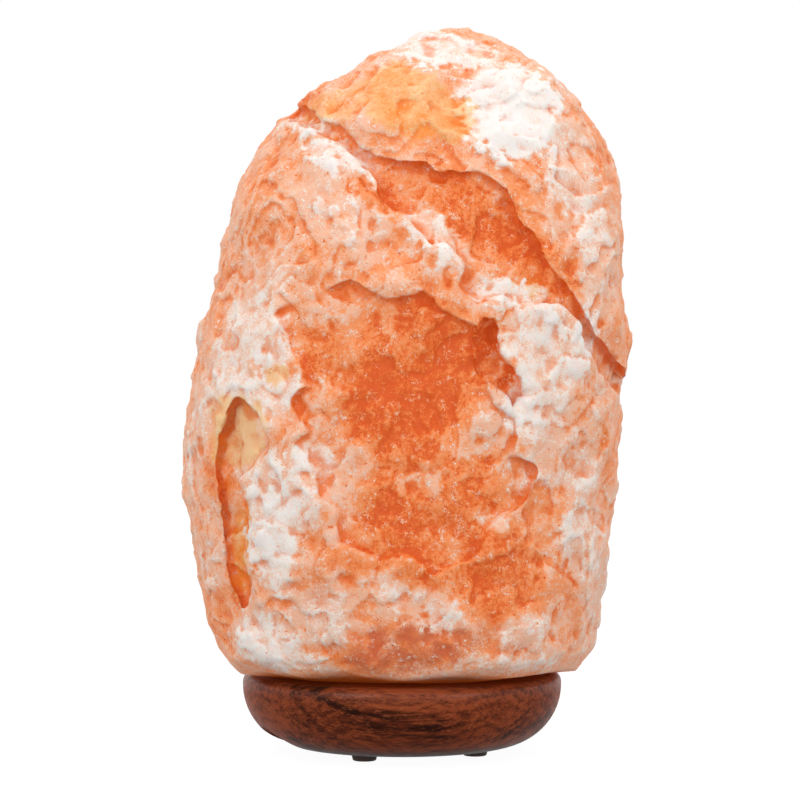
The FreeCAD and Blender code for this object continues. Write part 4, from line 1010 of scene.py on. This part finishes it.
def floor_material(colour):
    """A pale floor that keeps shadows, looks white to the eye and can be seen through from below."""
    material, tree, shader = new_material("Floor")
    plug_all(tree, shader, {"Base Color": opaque(colour), "Roughness": 0.9, "Specular IOR Level": 0.0})
    seen = times(tree, seen_share(tree), FLOOR_SEEN)
    white = add(tree, "ShaderNodeEmission", {"Color": opaque(WHITE), "Strength": FLOOR_WHITE}).outputs[0]
    lit = blend_shaders(tree, seen, shader.outputs[0], white)
    clear = add(tree, "ShaderNodeBsdfTransparent").outputs[0]
    behind = add(tree, "ShaderNodeNewGeometry").outputs["Backfacing"]
    output = next(node for node in tree.nodes if node.type == "OUTPUT_MATERIAL")
    plug(tree, output, "Surface", blend_shaders(tree, behind, lit, clear))
    return material


def pale_world(level):
    """White to the eye and in reflections, and an even soft light on everything else."""
    world = bpy.data.worlds.new("Studio")
    bpy.context.scene.world = world
    world.use_nodes = True
    tree = world.node_tree
    tree.nodes.clear()
    factor, unseen, seen = 0, 2, 3
    levels = {factor: seen_share(tree), unseen: level, seen: 1.0}
    strength = add(tree, "ShaderNodeMix", levels, data_type="FLOAT").outputs[0]
    light = add(tree, "ShaderNodeBackground", {"Color": opaque(WHITE), "Strength": strength}).outputs[0]
    add(tree, "ShaderNodeOutputWorld", {"Surface": light})


def facing(place, target):
    """The turn that points a soft box or the camera at its target."""
    return (Vector(target) - Vector(place)).to_track_quat("-Z", "Y").to_euler()


def soft_box(name, place, width, power, colour):
    """A square soft light that faces the lamp."""
    light = bpy.data.lights.new(name, "AREA")
    light.shape = "SQUARE"
    light.size = width
    light.energy = power
    light.color = colour
    lamp = bpy.data.objects.new(name, light)
    lamp.location = place
    lamp.rotation_euler = facing(place, LIT_POINT)
    bpy.context.collection.objects.link(lamp)


def camera_at(place, target, lens):
    data = bpy.data.cameras.new("Camera")
    data.lens = lens
    data.sensor_width = SENSOR_WIDTH
    camera = bpy.data.objects.new("Camera", data)
    camera.location = place
    camera.rotation_euler = facing(place, target)
    bpy.context.collection.objects.link(camera)
    bpy.context.scene.camera = camera


class SALTLAMP_OT_stage(bpy.types.Operator):
    """Set the floor, the soft lights and the camera"""

    bl_idname = "saltlamp.stage"
    bl_label = "Stage"

    def execute(self, context):
        stage = settings("stage_settings")
        bpy.ops.object.select_all(action="DESELECT")
        bpy.ops.mesh.primitive_plane_add(size=FLOOR_WIDTH, location=(0.0, 0.0, -FLOOR_DROP))
        floor = context.object
        floor.name = "studio_floor"
        give(floor, floor_material(stage.floor))
        pale_world(stage.sky)
        for name, place, width, share, colour in SOFT_BOXES:
            soft_box(name, place, width, stage.key_power * share, colour)
        camera_at(stage.eye, stage.aim, stage.lens)
        context.scene.view_settings.view_transform = "Standard"
        return {"FINISHED"}


# ---------------------------------------------------------------- panel and running
OPERATORS = (
    SALTLAMP_OT_crystal,
    SALTLAMP_OT_wood_base,
    SALTLAMP_OT_feet_and_screws,
    SALTLAMP_OT_light_unit,
    SALTLAMP_OT_candle_lamp,
    SALTLAMP_OT_stage,
)


class SALTLAMP_PT_panel(bpy.types.Panel):
    """The lamp's pieces, in the order they are made"""

    bl_label = "Salt crystal lamp"
    bl_idname = "SALTLAMP_PT_panel"
    bl_space_type = "VIEW_3D"
    bl_region_type = "UI"
    bl_category = "Salt Lamp"

    def draw(self, context):
        for operator in OPERATORS:
            self.layout.operator(operator.bl_idname)


SETTINGS = (
    ("salt_crystal_settings", CrystalSettings),
    ("wood_base_settings", BaseSettings),
    ("stage_settings", StageSettings),
)


def register():
    for name, group in SETTINGS:
        bpy.utils.register_class(group)
        setattr(bpy.types.Scene, name, PointerProperty(type=group))
    for made in OPERATORS + (SALTLAMP_PT_panel,):
        bpy.utils.register_class(made)


def unregister():
    for made in reversed(OPERATORS + (SALTLAMP_PT_panel,)):
        bpy.utils.unregister_class(made)
    for name, group in reversed(SETTINGS):
        delattr(bpy.types.Scene, name)
        bpy.utils.unregister_class(group)


def main():
    register()
    bpy.ops.saltlamp.crystal()
    bpy.ops.saltlamp.wood_base()
    bpy.ops.saltlamp.feet_and_screws()
    bpy.ops.saltlamp.light_unit()
    bpy.ops.saltlamp.candle_lamp()
    bpy.ops.saltlamp.stage()
    bpy.context.view_layer.update()


if __name__ == "__main__":
    main()
